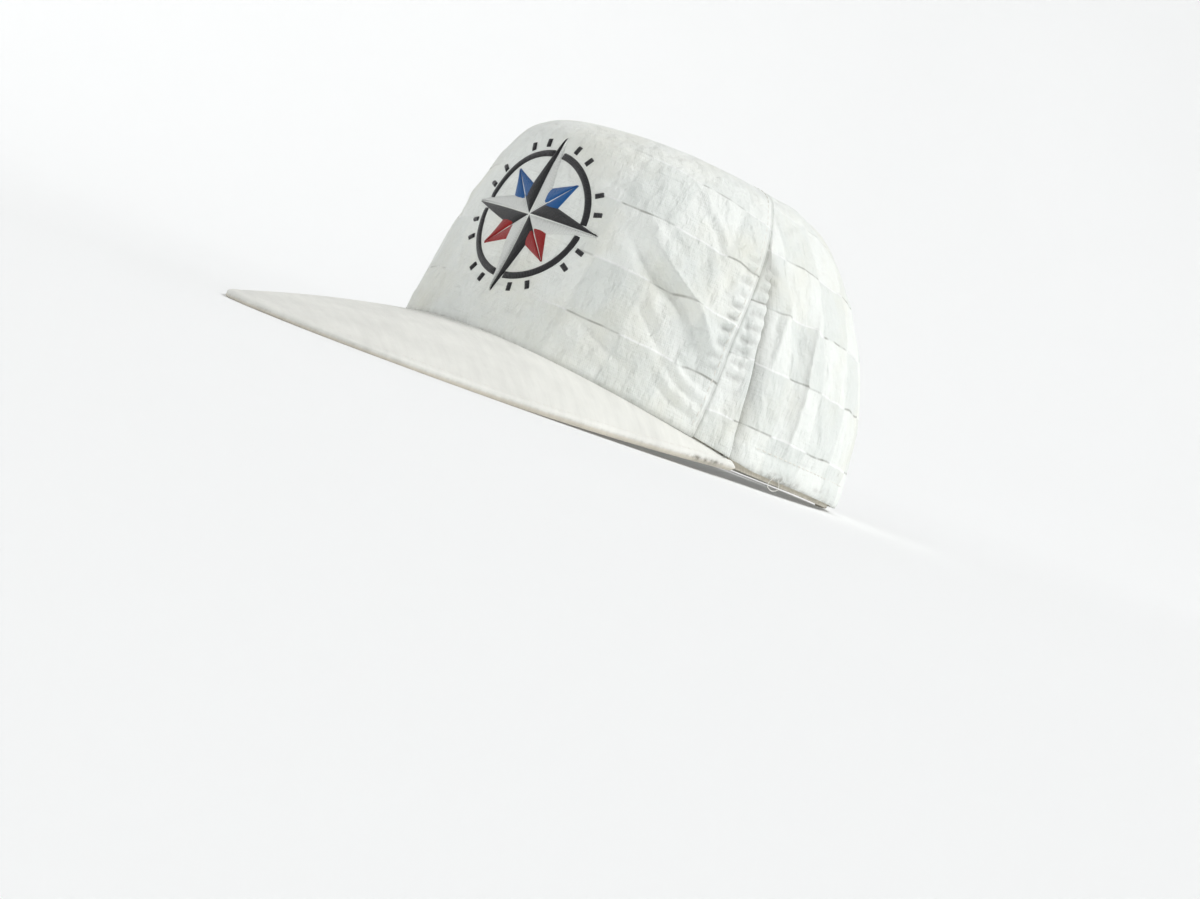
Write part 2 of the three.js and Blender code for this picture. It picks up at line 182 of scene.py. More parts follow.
# The small puckers that the seam thread draws up beside the side seam
PUCKER_PITCH, PUCKER_REACH, PUCKER_HEIGHT = 4.9, 9.0, 1.05
PUCKER_LOW, PUCKER_HIGH = 24.0, 78.0

# Smudges of dirt on the side panel's cloth near the rim: across, up, half their width, half their
# height and how dark
RIM_SPOTS = [
    (-3, 2.6, 9, 1.3, 0.85),
    (5, 3.6, 6, 1.4, 0.35),
    (23.5, 4.6, 1.7, 1.0, 0.55),
    (28, 5.0, 3.0, 1.0, 0.3),
    (34, 5.6, 1.6, 0.9, 0.5),
    (41, 13.6, 0.8, 0.6, 0.5),
]
# and on the brim's edge, as an angle from the front and an arc along the edge
BRIM_SPOTS = [(66.5, 1.4), (68.5, 1.0), (70.0, 0.7)]

# The stitch rows: how far each lies from the edge that it follows
SEAM_ROW, HEM_ROW, ARCH_ROW, EDGE_ROW, BAND_ROW = 1.7, 8.5, 5.0, 4.2, 2.2
HEM_ROW_HEIGHT = 9.7  # the hem's row above the rim

# The snap strap: two halves that overlap, with seven snaps
STRAP_THICK, STRAP_LOW, STRAP_TALL = 1.2, 1.5, 19.0
STRAP_ROOT, STRAP_TIP, STRAP_PITCH = 131.0, 196.5, 6.6
STRAP_TIP_ROUND = 7.0
BACK_REACH = 98.0  # from the middle of the rim to the strap
STRAP_EASE = (3.0, 14.0)
SNAP_PLACES = range(-4, 3)
HOLE_RADIUS, PEG_RADIUS, PEG_TALL = 2.4, 2.05, 2.6
BAND_THICK, BAND_TALL, BAND_BELOW, BAND_INSET, BAND_END = 1.2, 25.0, 7.0, 2.05, 146.0
BAND_ROOM = (117.0, 127.0)


def linear(code):
    """The linear colour of an sRGB hex code"""
    parts = [int(code[i : i + 2], 16) / 255 for i in (0, 2, 4)]
    return tuple(c / 12.92 if c <= 0.04045 else ((c + 0.055) / 1.055) ** 2.4 for c in parts)


def colour(label, about, code):
    """A colour setting"""
    return FloatVectorProperty(
        name=label, description=about, subtype="COLOR", size=3, min=0, max=1, default=linear(code)
    )


def length(label, about, millimetres):
    """A length setting"""
    return FloatProperty(name=label, description=about, unit="LENGTH", default=millimetres * MM, precision=5)


class CapSizes(bpy.types.PropertyGroup):
    """Sizes that a user would change"""

    cloth: length("Cloth wall", "Thickness of a crown panel with its backing", 1.6)
    crumple: length("Crumple", "How far the soft cloth is crumpled off its smooth shape", 1.1)
    stitch: length("Stitch", "Length of one stitch", 2.3)
    stitch_pitch: length("Stitch pitch", "From one stitch to the next", 3.1)
    thread: length("Thread", "Width of the sewing thread", 0.42)
    satin: length("Satin height", "How far the emblem's satin stitches stand off the cloth", 0.7)


class CapColours(bpy.types.PropertyGroup):
    """Colours that a user would change"""

    cotton: colour("Cotton", "The check's plain squares", "F1F4F0")
    cotton_satin: colour("Satin squares", "The check's satin squares, a little greyer", "E6EAE6")
    step_shade: colour("Step shade", "The fine line of shade below a satin square", "A5A49D")
    step_light: colour("Step light", "The bright line where a plain square ends", "FDFEFD")
    aged: colour("Aged cotton", "Cotton where age has yellowed it", "E9E8DA")
    # painted shade: the cloth is darkened deep in a fold or a seam
    crevice_shade: colour("Crevice", "Cloth deep in a fold or a seam", "82807A")
    brim_top: colour("Brim top", "The brim's upper cloth", "EFEFE9")
    brim_under: colour("Brim underside", "The brim's lower cloth, yellowed", "DAD4C6")
    band: colour("Sweatband", "The band's cream twill", "E2DBCB")
    plastic: colour("Strap", "The snap strap's soft plastic", "EFEDE6")
    thread: colour("Thread", "Sewing thread", "F1EFE8")
    black: colour("Emblem black", "Black embroidery thread", "17171B")
    blue: colour("Emblem blue", "Blue embroidery thread", "1161A8")
    red: colour("Emblem red", "Red embroidery thread", "A81818")
    grime: colour("Grime", "Dirt along the rim and edges", "7C776B")
    floor: colour("Floor", "The floor and the wall that it runs up into", "EEEFEF")


class CapStage(bpy.types.PropertyGroup):
    """Camera and light"""

    azimuth: FloatProperty(name="Azimuth", description="Round the cap from its front", default=40.0)
    elevation: FloatProperty(name="Elevation", description="Above the floor, in degrees", default=1.2)
    roll: FloatProperty(name="Roll", description="The image's turn, clockwise, in degrees", default=20.5)
    distance: length("Distance", "From the camera to the middle of the rim", 832.0)
    lens: FloatProperty(name="Lens", description="Focal length in millimetres", default=66.0)
    key: FloatProperty(name="Key", description="Strength of the key light", default=1.76)
    sky: FloatProperty(name="Sky", description="Strength of the even light from above", default=0.25)


def smooth(x, low, high):
    """0 below low, 1 above high, and a smooth rise between them"""
    f = np.clip((x - low) / (high - low), 0, 1)
    return f * f * (3 - 2 * f)


def bell(x, middle, width):
    """1 at the middle, falling away on both sides within a width"""
    return np.exp(-(((x - middle) / width) ** 2))


def column(name, t):
    """A smooth curve through one column of the crown's table; t is 0 at the rim and 1 at the top"""
    rows = CROWN[:, CROWN_COLUMNS.index(name)]
    last = len(rows) - 1
    place = np.clip(t, 0, 1) * last
    i = np.minimum(place.astype(int), last - 1)
    f = place - i
    a, b, c, d = (rows[np.clip(i + k, 0, last)] for k in (-1, 0, 1, 2))
    cubic = (3 * b - a - 3 * c + d) * f**3 + (2 * a - 5 * b + 4 * c - d) * f**2
    return 0.5 * (2 * b + (c - a) * f + cubic)


STEPS = np.linspace(0, 1, 2001)
HEIGHTS = column("z", STEPS)


def height_to_t(z):
    """The t at which the crown reaches a height"""
    return np.interp(z, HEIGHTS, STEPS)


def crown_point(angle, t):
    """Points of the smooth crown; angles in degrees from the front towards the wearer's left"""
    angle, t = np.broadcast_arrays(np.asarray(angle, float), np.asarray(t, float))
    front, back, side, widest, square = (column(name, t) for name in CROWN_COLUMNS[1:6])
    c, s = np.cos(np.radians(angle)), np.sin(np.radians(angle))
    round_ = (np.abs(c) ** square + np.abs(s) ** square) ** (-1 / square)
    reach = np.where(c > 0, front - widest, widest - back)
    return np.stack([side * s * round_, widest + reach * c * round_, column("z", t)], -1)


def unit(vectors):
    """The same vectors, one long"""
    return vectors / np.maximum(np.linalg.norm(vectors, axis=-1, keepdims=True), 1e-9)


def crown_normal(angle, t):
    """Outward normals of the smooth crown"""
    turn, rise, top = 0.5, 0.004, 0.995
    along = crown_point(angle + turn, t) - crown_point(angle - turn, t)
    up = crown_point(angle, np.minimum(t + rise, 1)) - crown_point(angle, np.maximum(t - rise, 0))
    normal = unit(np.cross(along, up))
    return np.where(np.asarray(t)[..., None] > top, [0.0, 0.0, 1.0], normal)


# Arc lengths over the smooth crown, which give each place its cloth coordinates in millimetres
ARC_ANGLES, ARC_TS = np.linspace(-180, 180, 361), np.linspace(0, 1, 241)
ARC_POINTS = crown_point(ARC_ANGLES[:, None], ARC_TS[None, :])
ARC_UP = np.cumsum(np.linalg.norm(np.diff(ARC_POINTS, axis=1, prepend=ARC_POINTS[:, :1]), axis=2), 1)
ARC_ROUND = np.cumsum(np.linalg.norm(np.diff(ARC_POINTS, axis=0, prepend=ARC_POINTS[:1]), axis=2), 0)


def look_up(table, angle, t):
    """A table over angle and t, read between its entries"""
    x = np.clip((angle + 180) / 360 * (len(ARC_ANGLES) - 1), 0, len(ARC_ANGLES) - 1.001)
    y = np.clip(t * (len(ARC_TS) - 1), 0, len(ARC_TS) - 1.001)
    i, j = x.astype(int), y.astype(int)
    f, g = x - i, y - j
    low = table[i, j] * (1 - f) + table[i + 1, j] * f
    high = table[i, j + 1] * (1 - f) + table[i + 1, j + 1] * f
    return low * (1 - g) + high * g


def along_cloth(angle, t, start):
    """How far round the cloth a place lies from a starting angle"""
    angle, t, start = np.broadcast_arrays(*(np.asarray(value, float) for value in (angle, t, start)))
    return look_up(ARC_ROUND, angle, t) - look_up(ARC_ROUND, start, t)


def cloth_place(angle, t, zero):
    """How far across the cloth from the angle called zero, and how far up it from the rim"""
    return along_cloth(angle, t, zero), look_up(ARC_UP, *np.broadcast_arrays(angle, t))


def seam_height(angle):
    """Height of the brim's top along its seam; past the brim's ends it is the crown's own hem"""
    x = np.minimum(np.abs(angle) / SEAM_END, 1)
    return SEAM_LOW + SEAM_RISE * np.cos(x * math.pi / 2) ** SEAM_CURVE


def rest_tilt():
    """The cap's tilt at rest, from the top and bottom edges of the upright strap in the frame"""
    low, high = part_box("strap_with_holes")
    deep, tall = (high.y - low.y) / MM, (high.z - low.z) / MM
    # tall = STRAP_TALL * cos + deep * sin, and both angles are small
    return math.asin((tall - STRAP_TALL) / deep)


def edge_point(across, out=1.0):
    """The middle of the brim's thickness: across is -1 to 1 along it, out is 0 at the crown, 1 at the edge"""
    across, out = np.broadcast_arrays(np.asarray(across, float), np.asarray(out, float))
    angle = across * BRIM_END
    hem = height_to_t(seam_height(angle))
    inward = crown_normal(angle, np.zeros_like(angle)) * [1, 1, 0]
    inner = crown_point(angle, hem) - unit(inward) * 1.6
    inner[..., 2] = seam_height(angle) - BRIM_THICK / 2
    c, s = np.cos(across * math.pi / 2), np.sin(across * math.pi / 2)
    round_ = (np.abs(c) ** EDGE_SQUARE + np.abs(s) ** EDGE_SQUARE) ** (-1 / EDGE_SQUARE)
    rise = EDGE_END_RISE + EDGE_ARCH * (1 - (s * round_) ** 2) - EDGE_DROOP * c * round_
    outer = np.stack([
        EDGE_HALF_WIDTH * s * round_,
        EDGE_BACK - EDGE_REACH * c * round_,
        rise - BRIM_THICK / 2,
    ], -1)
    point = inner + (outer - inner) * out[..., None]
    point[..., 2] += BRIM_CAMBER * np.sin(math.pi * out) * c
    return point


def tip_over(points, tilt):
    """Points turned about X as the resting cap is"""
    y, z = points[..., 1], points[..., 2]
    c, s = math.cos(tilt), math.sin(tilt)
    return np.stack([points[..., 0], y * c + z * s, z * c - y * s], -1)


TILT = rest_tilt()


def rim_centre():
    """Where the rim's centre lies at rest: the tip of the brim and the top of the crown give it"""
    low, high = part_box("brim")[0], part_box("front_panel")[1]
    tip = tip_over(edge_point(0.0), TILT)
    top = tip_over(crown_point(0.0, STEPS), TILT)[:, 2].max()
    return np.array([0, low.y / MM - tip[1], high.z / MM - top])


CENTRE = rim_centre()


def stand(points):
    """Rim-plane millimetres to the frame's metres"""
    return (tip_over(np.asarray(points, float), TILT) + CENTRE) * MM


def fold_lift(across, up, height, left, right, course):
    """How far one charted fold lifts each place of the cloth; it dies away at both ends"""
    course = np.array(course, float)
    steps = np.diff(course, axis=0)
    lengths = np.linalg.norm(steps, axis=1)
    starts = np.concatenate([[0], np.cumsum(lengths)])
    nearest = np.full(np.shape(across), 1e9)
    side, along = np.zeros_like(nearest), np.zeros_like(nearest)
    for (x0, y0), (dx, dy), far, start in zip(course[:-1], steps, lengths, starts):
        f = np.clip(((across - x0) * dx + (up - y0) * dy) / far**2, 0, 1)
        px, py = across - x0 - f * dx, up - y0 - f * dy
        gap = np.hypot(px, py)
        closer = gap < nearest
        nearest = np.where(closer, gap, nearest)
        side = np.where(closer, dx * py - dy * px, side)
        along = np.where(closer, (start + f * far) / starts[-1], along)
    width = np.where(side > 0, left, right)
    ends = np.sin(math.pi * np.clip(along, 0.04, 0.96)) ** 0.7
    # a crest is sharper than a hollow, as in real creased cloth
    sharp = 1.05 if height > 0 else 1.5
    return height * ends * np.exp(-((nearest / width) ** sharp))


def folds_lift(across, up, folds):
    """All the charted folds of a panel together"""
    return sum(fold_lift(across, up, *fold) for fold in folds)


def long_column(table, name, t):
    """One column of a long fold's table, by height"""
    return np.interp(column("z", t), table[:, 0], table[:, LONG_COLUMNS.index(name)])


def past_line(table, angle, t):
    """How far a place lies past a long fold's line, along the cloth"""
    return along_cloth(angle, t, long_column(table, "angle", t))


def tuck_lift(angle, t):
    """The tuck: a slow rise to its edge, a sharp drop, and behind it a return that is steep at first"""
    proud, dip = (long_column(TUCK, name, t) for name in ("proud", "dip"))
    x = past_line(TUCK, angle, t)
    back = np.clip((x - TUCK_DROP) / TUCK_RETURN, 0, 1)
    behind = proud * (1 - smooth(x, 0, TUCK_DROP)) - dip * smooth(x, 0, TUCK_DROP) * (1 - back) ** 2
    return np.where(x < 0, proud * smooth(x, -TUCK_RISE, 0), behind)


def crease_lift(angle, t):
    """The crease: a rise that grows steeper up to a crisp crest, and a slope down behind it"""
    proud, x = long_column(CREASE, "proud", t), past_line(CREASE, angle, t)
    ahead = np.clip(1 + x / CREASE_RISE, 0, 1) ** 2
    return proud * np.where(x < 0, ahead, 1 - smooth(x, -1.5, CREASE_DROP))


def wave_along(up, pitch, seed):
    """Uneven puckers: a sine whose pitch and strength wander"""
    rng = np.random.default_rng(seed)
    knots = np.arange(-20, 140, 7.0)
    wander = np.interp(up, knots, rng.uniform(-0.9, 0.9, len(knots)))
    strength = np.interp(up, knots, rng.uniform(0.45, 1.1, len(knots)))
    return strength * np.sin(2 * math.pi * up / pitch + wander)


# Pieces of cloth as grids that are laid out in code


def deselect():
    """Nothing is selected, so that an operator acts on the new piece alone"""
    bpy.ops.object.select_all(action="DESELECT")


def pick(*pieces):
    """Selects these pieces alone, the first of them active"""
    deselect()
    for piece in pieces:
        piece.select_set(True)
    bpy.context.view_layer.objects.active = pieces[0]


def cloth_grid(name, columns, rows, place):
    """A flat grid, each point moved to where place(u, v) says; it also gives the cloth's own coordinates"""
    deselect()
    bpy.ops.mesh.primitive_grid_add(x_subdivisions=columns, y_subdivisions=rows, size=2, calc_uvs=True)
    piece = bpy.context.object
    piece.name = piece.data.name = name
    flat = read_points(piece)
    points, cloth = place((flat[:, 0] + 1) / 2, (flat[:, 1] + 1) / 2)
    piece.data.vertices.foreach_set("co", stand(points).ravel())
    write_cloth(piece, cloth)
    return piece


def read_points(piece):
    """A mesh's points as an array"""
    flat = np.empty(len(piece.data.vertices) * 3)
    piece.data.vertices.foreach_get("co", flat)
    return flat.reshape(-1, 3)


def write_cloth(piece, cloth):
    """The cloth's own coordinates, in millimetres, as the piece's UV map"""
    corners = np.empty(len(piece.data.loops), int)
    piece.data.loops.foreach_get("vertex_index", corners)
    layer = piece.data.uv_layers[0]
    layer.name = "cloth"
    layer.data.foreach_set("uv", np.stack(cloth, -1)[corners].ravel())


def write_values(piece, name, values):
    """One number for each point, for the material to read"""
    layer = piece.data.attributes.new(name, "FLOAT", "POINT")
    layer.data.foreach_set("value", np.asarray(values, float))


def write_group(piece, name, weights, levels=20):
    """A vertex group whose weights follow an array, in a few even levels"""
    group = piece.vertex_groups.new(name=name)
    level = np.round(np.clip(weights, 0, 1) * levels).astype(int)
    for k in range(1, levels + 1):
        group.add(np.flatnonzero(level == k).tolist(), k / levels, "REPLACE")


def apply_modifier(piece, kind, **settings):
    """Adds one modifier with its settings and applies it"""
    pick(piece)
    modifier = piece.modifiers.new(kind.lower(), kind)
    for key, value in settings.items():
        setattr(modifier, key, value)
    bpy.ops.object.modifier_apply(modifier=modifier.name)


def add_object(name, data):
    """A new object in the scene"""
    thing = bpy.data.objects.new(name, data)
    bpy.context.scene.collection.objects.link(thing)
    return thing


def merge_and_face_out(piece, gap=0.00002):
    """Closes seams and poles, and turns all faces outwards"""
    pick(piece)
    bpy.ops.object.mode_set(mode="EDIT")
    bpy.ops.mesh.select_all(action="SELECT")
    bpy.ops.mesh.remove_doubles(threshold=gap)
    bpy.ops.mesh.normals_make_consistent(inside=False)
    bpy.ops.object.mode_set(mode="OBJECT")


def shade(piece, degrees=40):
    """Smooth shading, with an edge kept where faces meet sharply"""
    pick(piece)
    bpy.ops.object.shade_smooth_by_angle(angle=math.radians(degrees))


def round_edges(piece, width, segments, degrees):
    """Rounds the edges that are sharper than an angle"""
    limit = {"limit_method": "ANGLE", "angle_limit": math.radians(degrees)}
    apply_modifier(piece, "BEVEL", width=width, segments=segments, **limit)


def crumple_texture(name, kind, scale_mm, **settings):
    """A texture for crumpling cloth"""
    texture = bpy.data.textures.new(name, kind)
    texture.noise_scale = scale_mm * MM
    for key, value in settings.items():
        setattr(texture, key, value)
    return texture


def crumple(piece, weights, strength, offset):
    """Crumples the cloth where the weights say: soft waves, then crisp creases"""
    write_group(piece, "soft", weights)
    waves = crumple_texture("soft_waves", "CLOUDS", 18, noise_depth=2)
    creases = crumple_texture(
        "crisp_creases", "MUSGRAVE", 21, musgrave_type="RIDGED_MULTIFRACTAL", octaves=2.5, offset=0.9, gain=1.4
    )
    shift = add_object("crumple_shift", None)
    shift.location = offset
    bpy.context.view_layer.update()
    for texture, share in ((waves, 1.3), (creases, 0.5)):
        apply_modifier(
            piece,
            "DISPLACE",
            texture=texture,
            texture_coords="OBJECT",
            texture_coords_object=shift,
            vertex_group="soft",
            mid_level=0.5,
            strength=strength * share,
            direction="NORMAL",
        )
    bpy.data.objects.remove(shift)


def finish_panel(piece, place, sizes, material, offset, node):
    """Takes a laid-out panel to finished cloth: crumpled, with its wall inwards and its cut edges
    rounded"""
    for name in ("grime", "check", "crevice_shade"):
        write_values(piece, name, getattr(place, name))
    crumple(piece, place.soft, sizes.crumple, offset)
    merge_and_face_out(piece)
    wall = sizes.cloth
    apply_modifier(piece, "SOLIDIFY", thickness=wall, offset=-1)
    round_edges(piece, wall * 0.3, 2, 75)
    shade(piece, 60)
    belongs(piece, material, "white_cotton", node)


def belongs(piece, material, slot, *nodes):
    """Wears a material, rides on the frame's one body, and stands for the nodes named. The slot is not used."""
    piece.data.materials.append(material)
    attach(piece, "root")
    if nodes:
        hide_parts(*nodes)


# The crown's panels


def profile_t(v, start, angle):
    """The t at a share v of the way up the cloth from the height start to the top"""
    t0 = height_to_t(start)
    up0, up1 = look_up(ARC_UP, angle, t0), look_up(ARC_UP, angle, np.ones_like(angle))
    goal = up0 + (up1 - up0) * v
    t = t0 + (1 - t0) * v
    for _ in range(12):
        here = look_up(ARC_UP, angle, t)
        slope = (look_up(ARC_UP, angle, np.minimum(t + 0.01, 1)) - look_up(ARC_UP, angle, t - 0.01))
        rate = np.maximum(slope, 0.3) / 0.02
        t = np.clip(t + (goal - here) / rate, t0, 1)
    return np.where(v >= 1, 1.0, np.where(v <= 0, t0, t))


def seam_angle(t):
    """The angle of the side seam"""
    return column("seam", t)


def edge_gap(angle, t, edge):
    """How far each place lies from an edge of its panel, in millimetres"""
    return np.abs(along_cloth(angle, t, edge))


def lay_on_crown(angle, t, lift):
    """Points that stand off the smooth crown by a lift"""
    return crown_point(angle, t) + crown_normal(angle, t) * np.asarray(lift)[..., None]


def lap_degrees(t):
    """How far a panel laps over a seam, as an angle"""
    return np.degrees(LAP / np.maximum(column("side", t), 4))


def top_fade(t):
    """How much of the check shows: it fades towards the top, which sun has bleached"""
    return 1 - 0.75 * smooth(t, 0.5, 0.72)


def front_puckers(up, gap):
    """The ladder of puckers beside the front's two seams"""
    drawn = smooth(up, PUCKER_LOW, PUCKER_LOW + 10) * (1 - smooth(up, PUCKER_HIGH - 8, PUCKER_HIGH))
    reach = smooth(gap, 0.6, 2.5) * (1 - smooth(gap, 3.5, PUCKER_REACH))
    return PUCKER_HEIGHT * drawn * reach * wave_along(up, PUCKER_PITCH, 3)


def side_puckers(up, gap):
    """The puckers on the other side of a side seam, as far as the tuck"""
    drawn = smooth(up, 18, 34) * (1 - smooth(up, 66, 78))
    reach = smooth(gap, 0.8, 3) * (1 - smooth(gap, 6, 11))
    return 0.8 * PUCKER_HEIGHT * drawn * reach * wave_along(up, PUCKER_PITCH, 5)


def front_lift(angle, t):
    """The front panel's relief, and the cloth coordinates that it is charted in"""
    across, up = cloth_place(angle, t, 0)
    lift = folds_lift(across, up, FRONT_FOLDS) + folds_lift(-across, up, FRONT_RIGHT_FOLDS)
    gap = np.minimum(edge_gap(angle, t, seam_angle(t)), edge_gap(angle, t, -seam_angle(t)))
    lift = lift + front_puckers(up, gap)
    lift = lift - 0.35 * (1 - smooth(gap, 0, 0.9))
    hem = up - look_up(ARC_UP, angle, height_to_t(seam_height(angle)))
    return lift - 0.4 * (1 - smooth(hem, 0, 1.2)), across, up, gap, hem


def make_front_panel(sizes, material):
    """The stiffened front of the crown"""

    def place(u, v):
        angle = (2 * u - 1) * SEAM_FOOT
        start = seam_height(angle) - LAP
        t = profile_t(v, start, angle)
        edge = seam_angle(t) + lap_degrees(t)
        # the columns lie closer together towards the two seams
        spread = (2 * u - 1) * (1.16 - 0.16 * (2 * u - 1) ** 2)
        angle = spread * edge
        t = np.where(v <= 0, height_to_t(seam_height(angle) - LAP), t)
        lift, across, up, gap, hem = front_lift(angle, t)
        place.soft = smooth(np.abs(across), 16, 46) * 0.85 + 0.15
        place.soft *= smooth(gap, 0.5, 6) * smooth(hem, 0.5, 8) * (1 - smooth(t, 0.9, 1.0))
        place.grime = 0.3 * (1 - smooth(hem, 0, 2.5))
        # painted shade along the seams, at the hem and in the hollows of the puckers
        place.crevice_shade = 0.3 * (1 - smooth(gap, 0, 0.7)) + 0.25 * (1 - smooth(hem, 0, 1.0))
        place.crevice_shade += 0.45 * np.maximum(-front_puckers(up, gap), 0) * (across > 0)
        # the stiffened middle is flat and clean, and its check hardly shows
        place.check = 0.2 + 0.8 * smooth(across, 14, 36) + 0.5 * smooth(-across, 22, 44)
        place.check *= top_fade(t)
        row = up + GRAIN_DROP * (across / GRAIN_REACH) ** 2
        return lay_on_crown(angle, t, lift), (across - FRONT_CHECK[0], row - FRONT_CHECK[1])

    piece = cloth_grid("front_panel_cloth", 236, 150, place)
    finish_panel(piece, place, sizes, material, (0.013, 0.021, 0.008), "front_panel")


def back_angle(x, t):
    """The angle behind the ears at which the crown reaches x to the side"""
    side, square = column("side", t), column("square", t)
    share = np.clip(x / side, 0, 1)
    # on the superellipse x**n + y**n = 1, this is the angle whose point has that x
    return 180 - np.degrees(np.arctan2(share, (1 - share**square) ** (1 / square)))


def foot_curve(count=4000):
    """The side panel's lower edge, from the side seam along the hem and up the arch to the back seam"""
    low_angle = np.linspace(SEAM_FOOT, 180, count)
    hem = seam_height(low_angle) + SEAT
    x = crown_point(low_angle, height_to_t(hem))[:, 0]
    hem_part = low_angle[x >= ARCH_HALF_WIDTH]
    turn = np.linspace(0, math.pi / 2, count)
    arch_x = ARCH_HALF_WIDTH * np.cos(turn)
    arch_z = ARCH_SPRING + (ARCH_TOP - ARCH_SPRING) * np.sin(turn)
    rise_z = np.linspace(float(seam_height(170.0) + SEAT), ARCH_SPRING, 200)
    xs = np.concatenate([np.full(200, ARCH_HALF_WIDTH), arch_x[1:]])
    zs = np.concatenate([rise_z, arch_z[1:]])
    t = height_to_t(zs)
    arch_angle = back_angle(xs, t)
    angles = np.concatenate([hem_part, arch_angle])
    heights = np.concatenate([seam_height(hem_part) + SEAT, zs])
    points = crown_point(angles, height_to_t(heights))
    along = np.concatenate([[0], np.cumsum(np.linalg.norm(np.diff(points, axis=0), axis=1))])
    return along[-1], along / along[-1], angles, heights


FOOT_LENGTH, FOOT_ALONG, FOOT_ANGLES, FOOT_HEIGHTS = foot_curve()


def side_lift(angle, t, foot_gap):
    """A side panel's relief, and the cloth coordinates that it is charted in"""
    across, up = cloth_place(angle, t, 90)
    lift = folds_lift(across, up, SIDE_FOLDS)
    lift = lift + tuck_lift(angle, t) + crease_lift(angle, t)
    seam_gap = edge_gap(angle, t, seam_angle(t))
    back_gap = edge_gap(angle, t, 180.0)
    lift = lift + side_puckers(up, seam_gap)
    back_reach = smooth(back_gap, 0.6, 2.5) * (1 - smooth(back_gap, 4, 8))
    lift = lift + 0.25 * back_reach * wave_along(up, PUCKER_PITCH, 8)
    # the seam allowance prints through as a faint step, and each seam draws its edges in
    lift = lift - 0.22 * bell(seam_gap, 6.0, 0.7) * (1 - smooth(up, 34, 44))
    lift = lift - 0.8 * (1 - smooth(seam_gap, 0, 1.3)) - 0.5 * (1 - smooth(back_gap, 0, 1.1))
    # the hem is turned up inside and stitched
    lift = lift - 0.28 * bell(foot_gap, HEM_ROW, 0.8) + 0.2 * bell(foot_gap, 4.5, 2.6)
    lift = lift - 0.5 * (1 - smooth(foot_gap, 0, 1.3))
    return lift, across, up, seam_gap, back_gap


# Columns of a side panel follow the tuck, and lie closest together there and at the crease: the share
# of columns used up by each distance along the panel's foot, in millimetres from the tuck
TUCK_FOOT = float(np.interp(TUCK[0, 1], FOOT_ANGLES[:2000], FOOT_ALONG[:2000]))
COLUMN_COUNTS = (0, 24, 29, 39, 88, 200)
COLUMN_PLACES = (-1.0, 0.0, 2.4, 33.0)
COLUMN_SHARES = (0, *(TUCK_FOOT + place / FOOT_LENGTH for place in COLUMN_PLACES), 1)


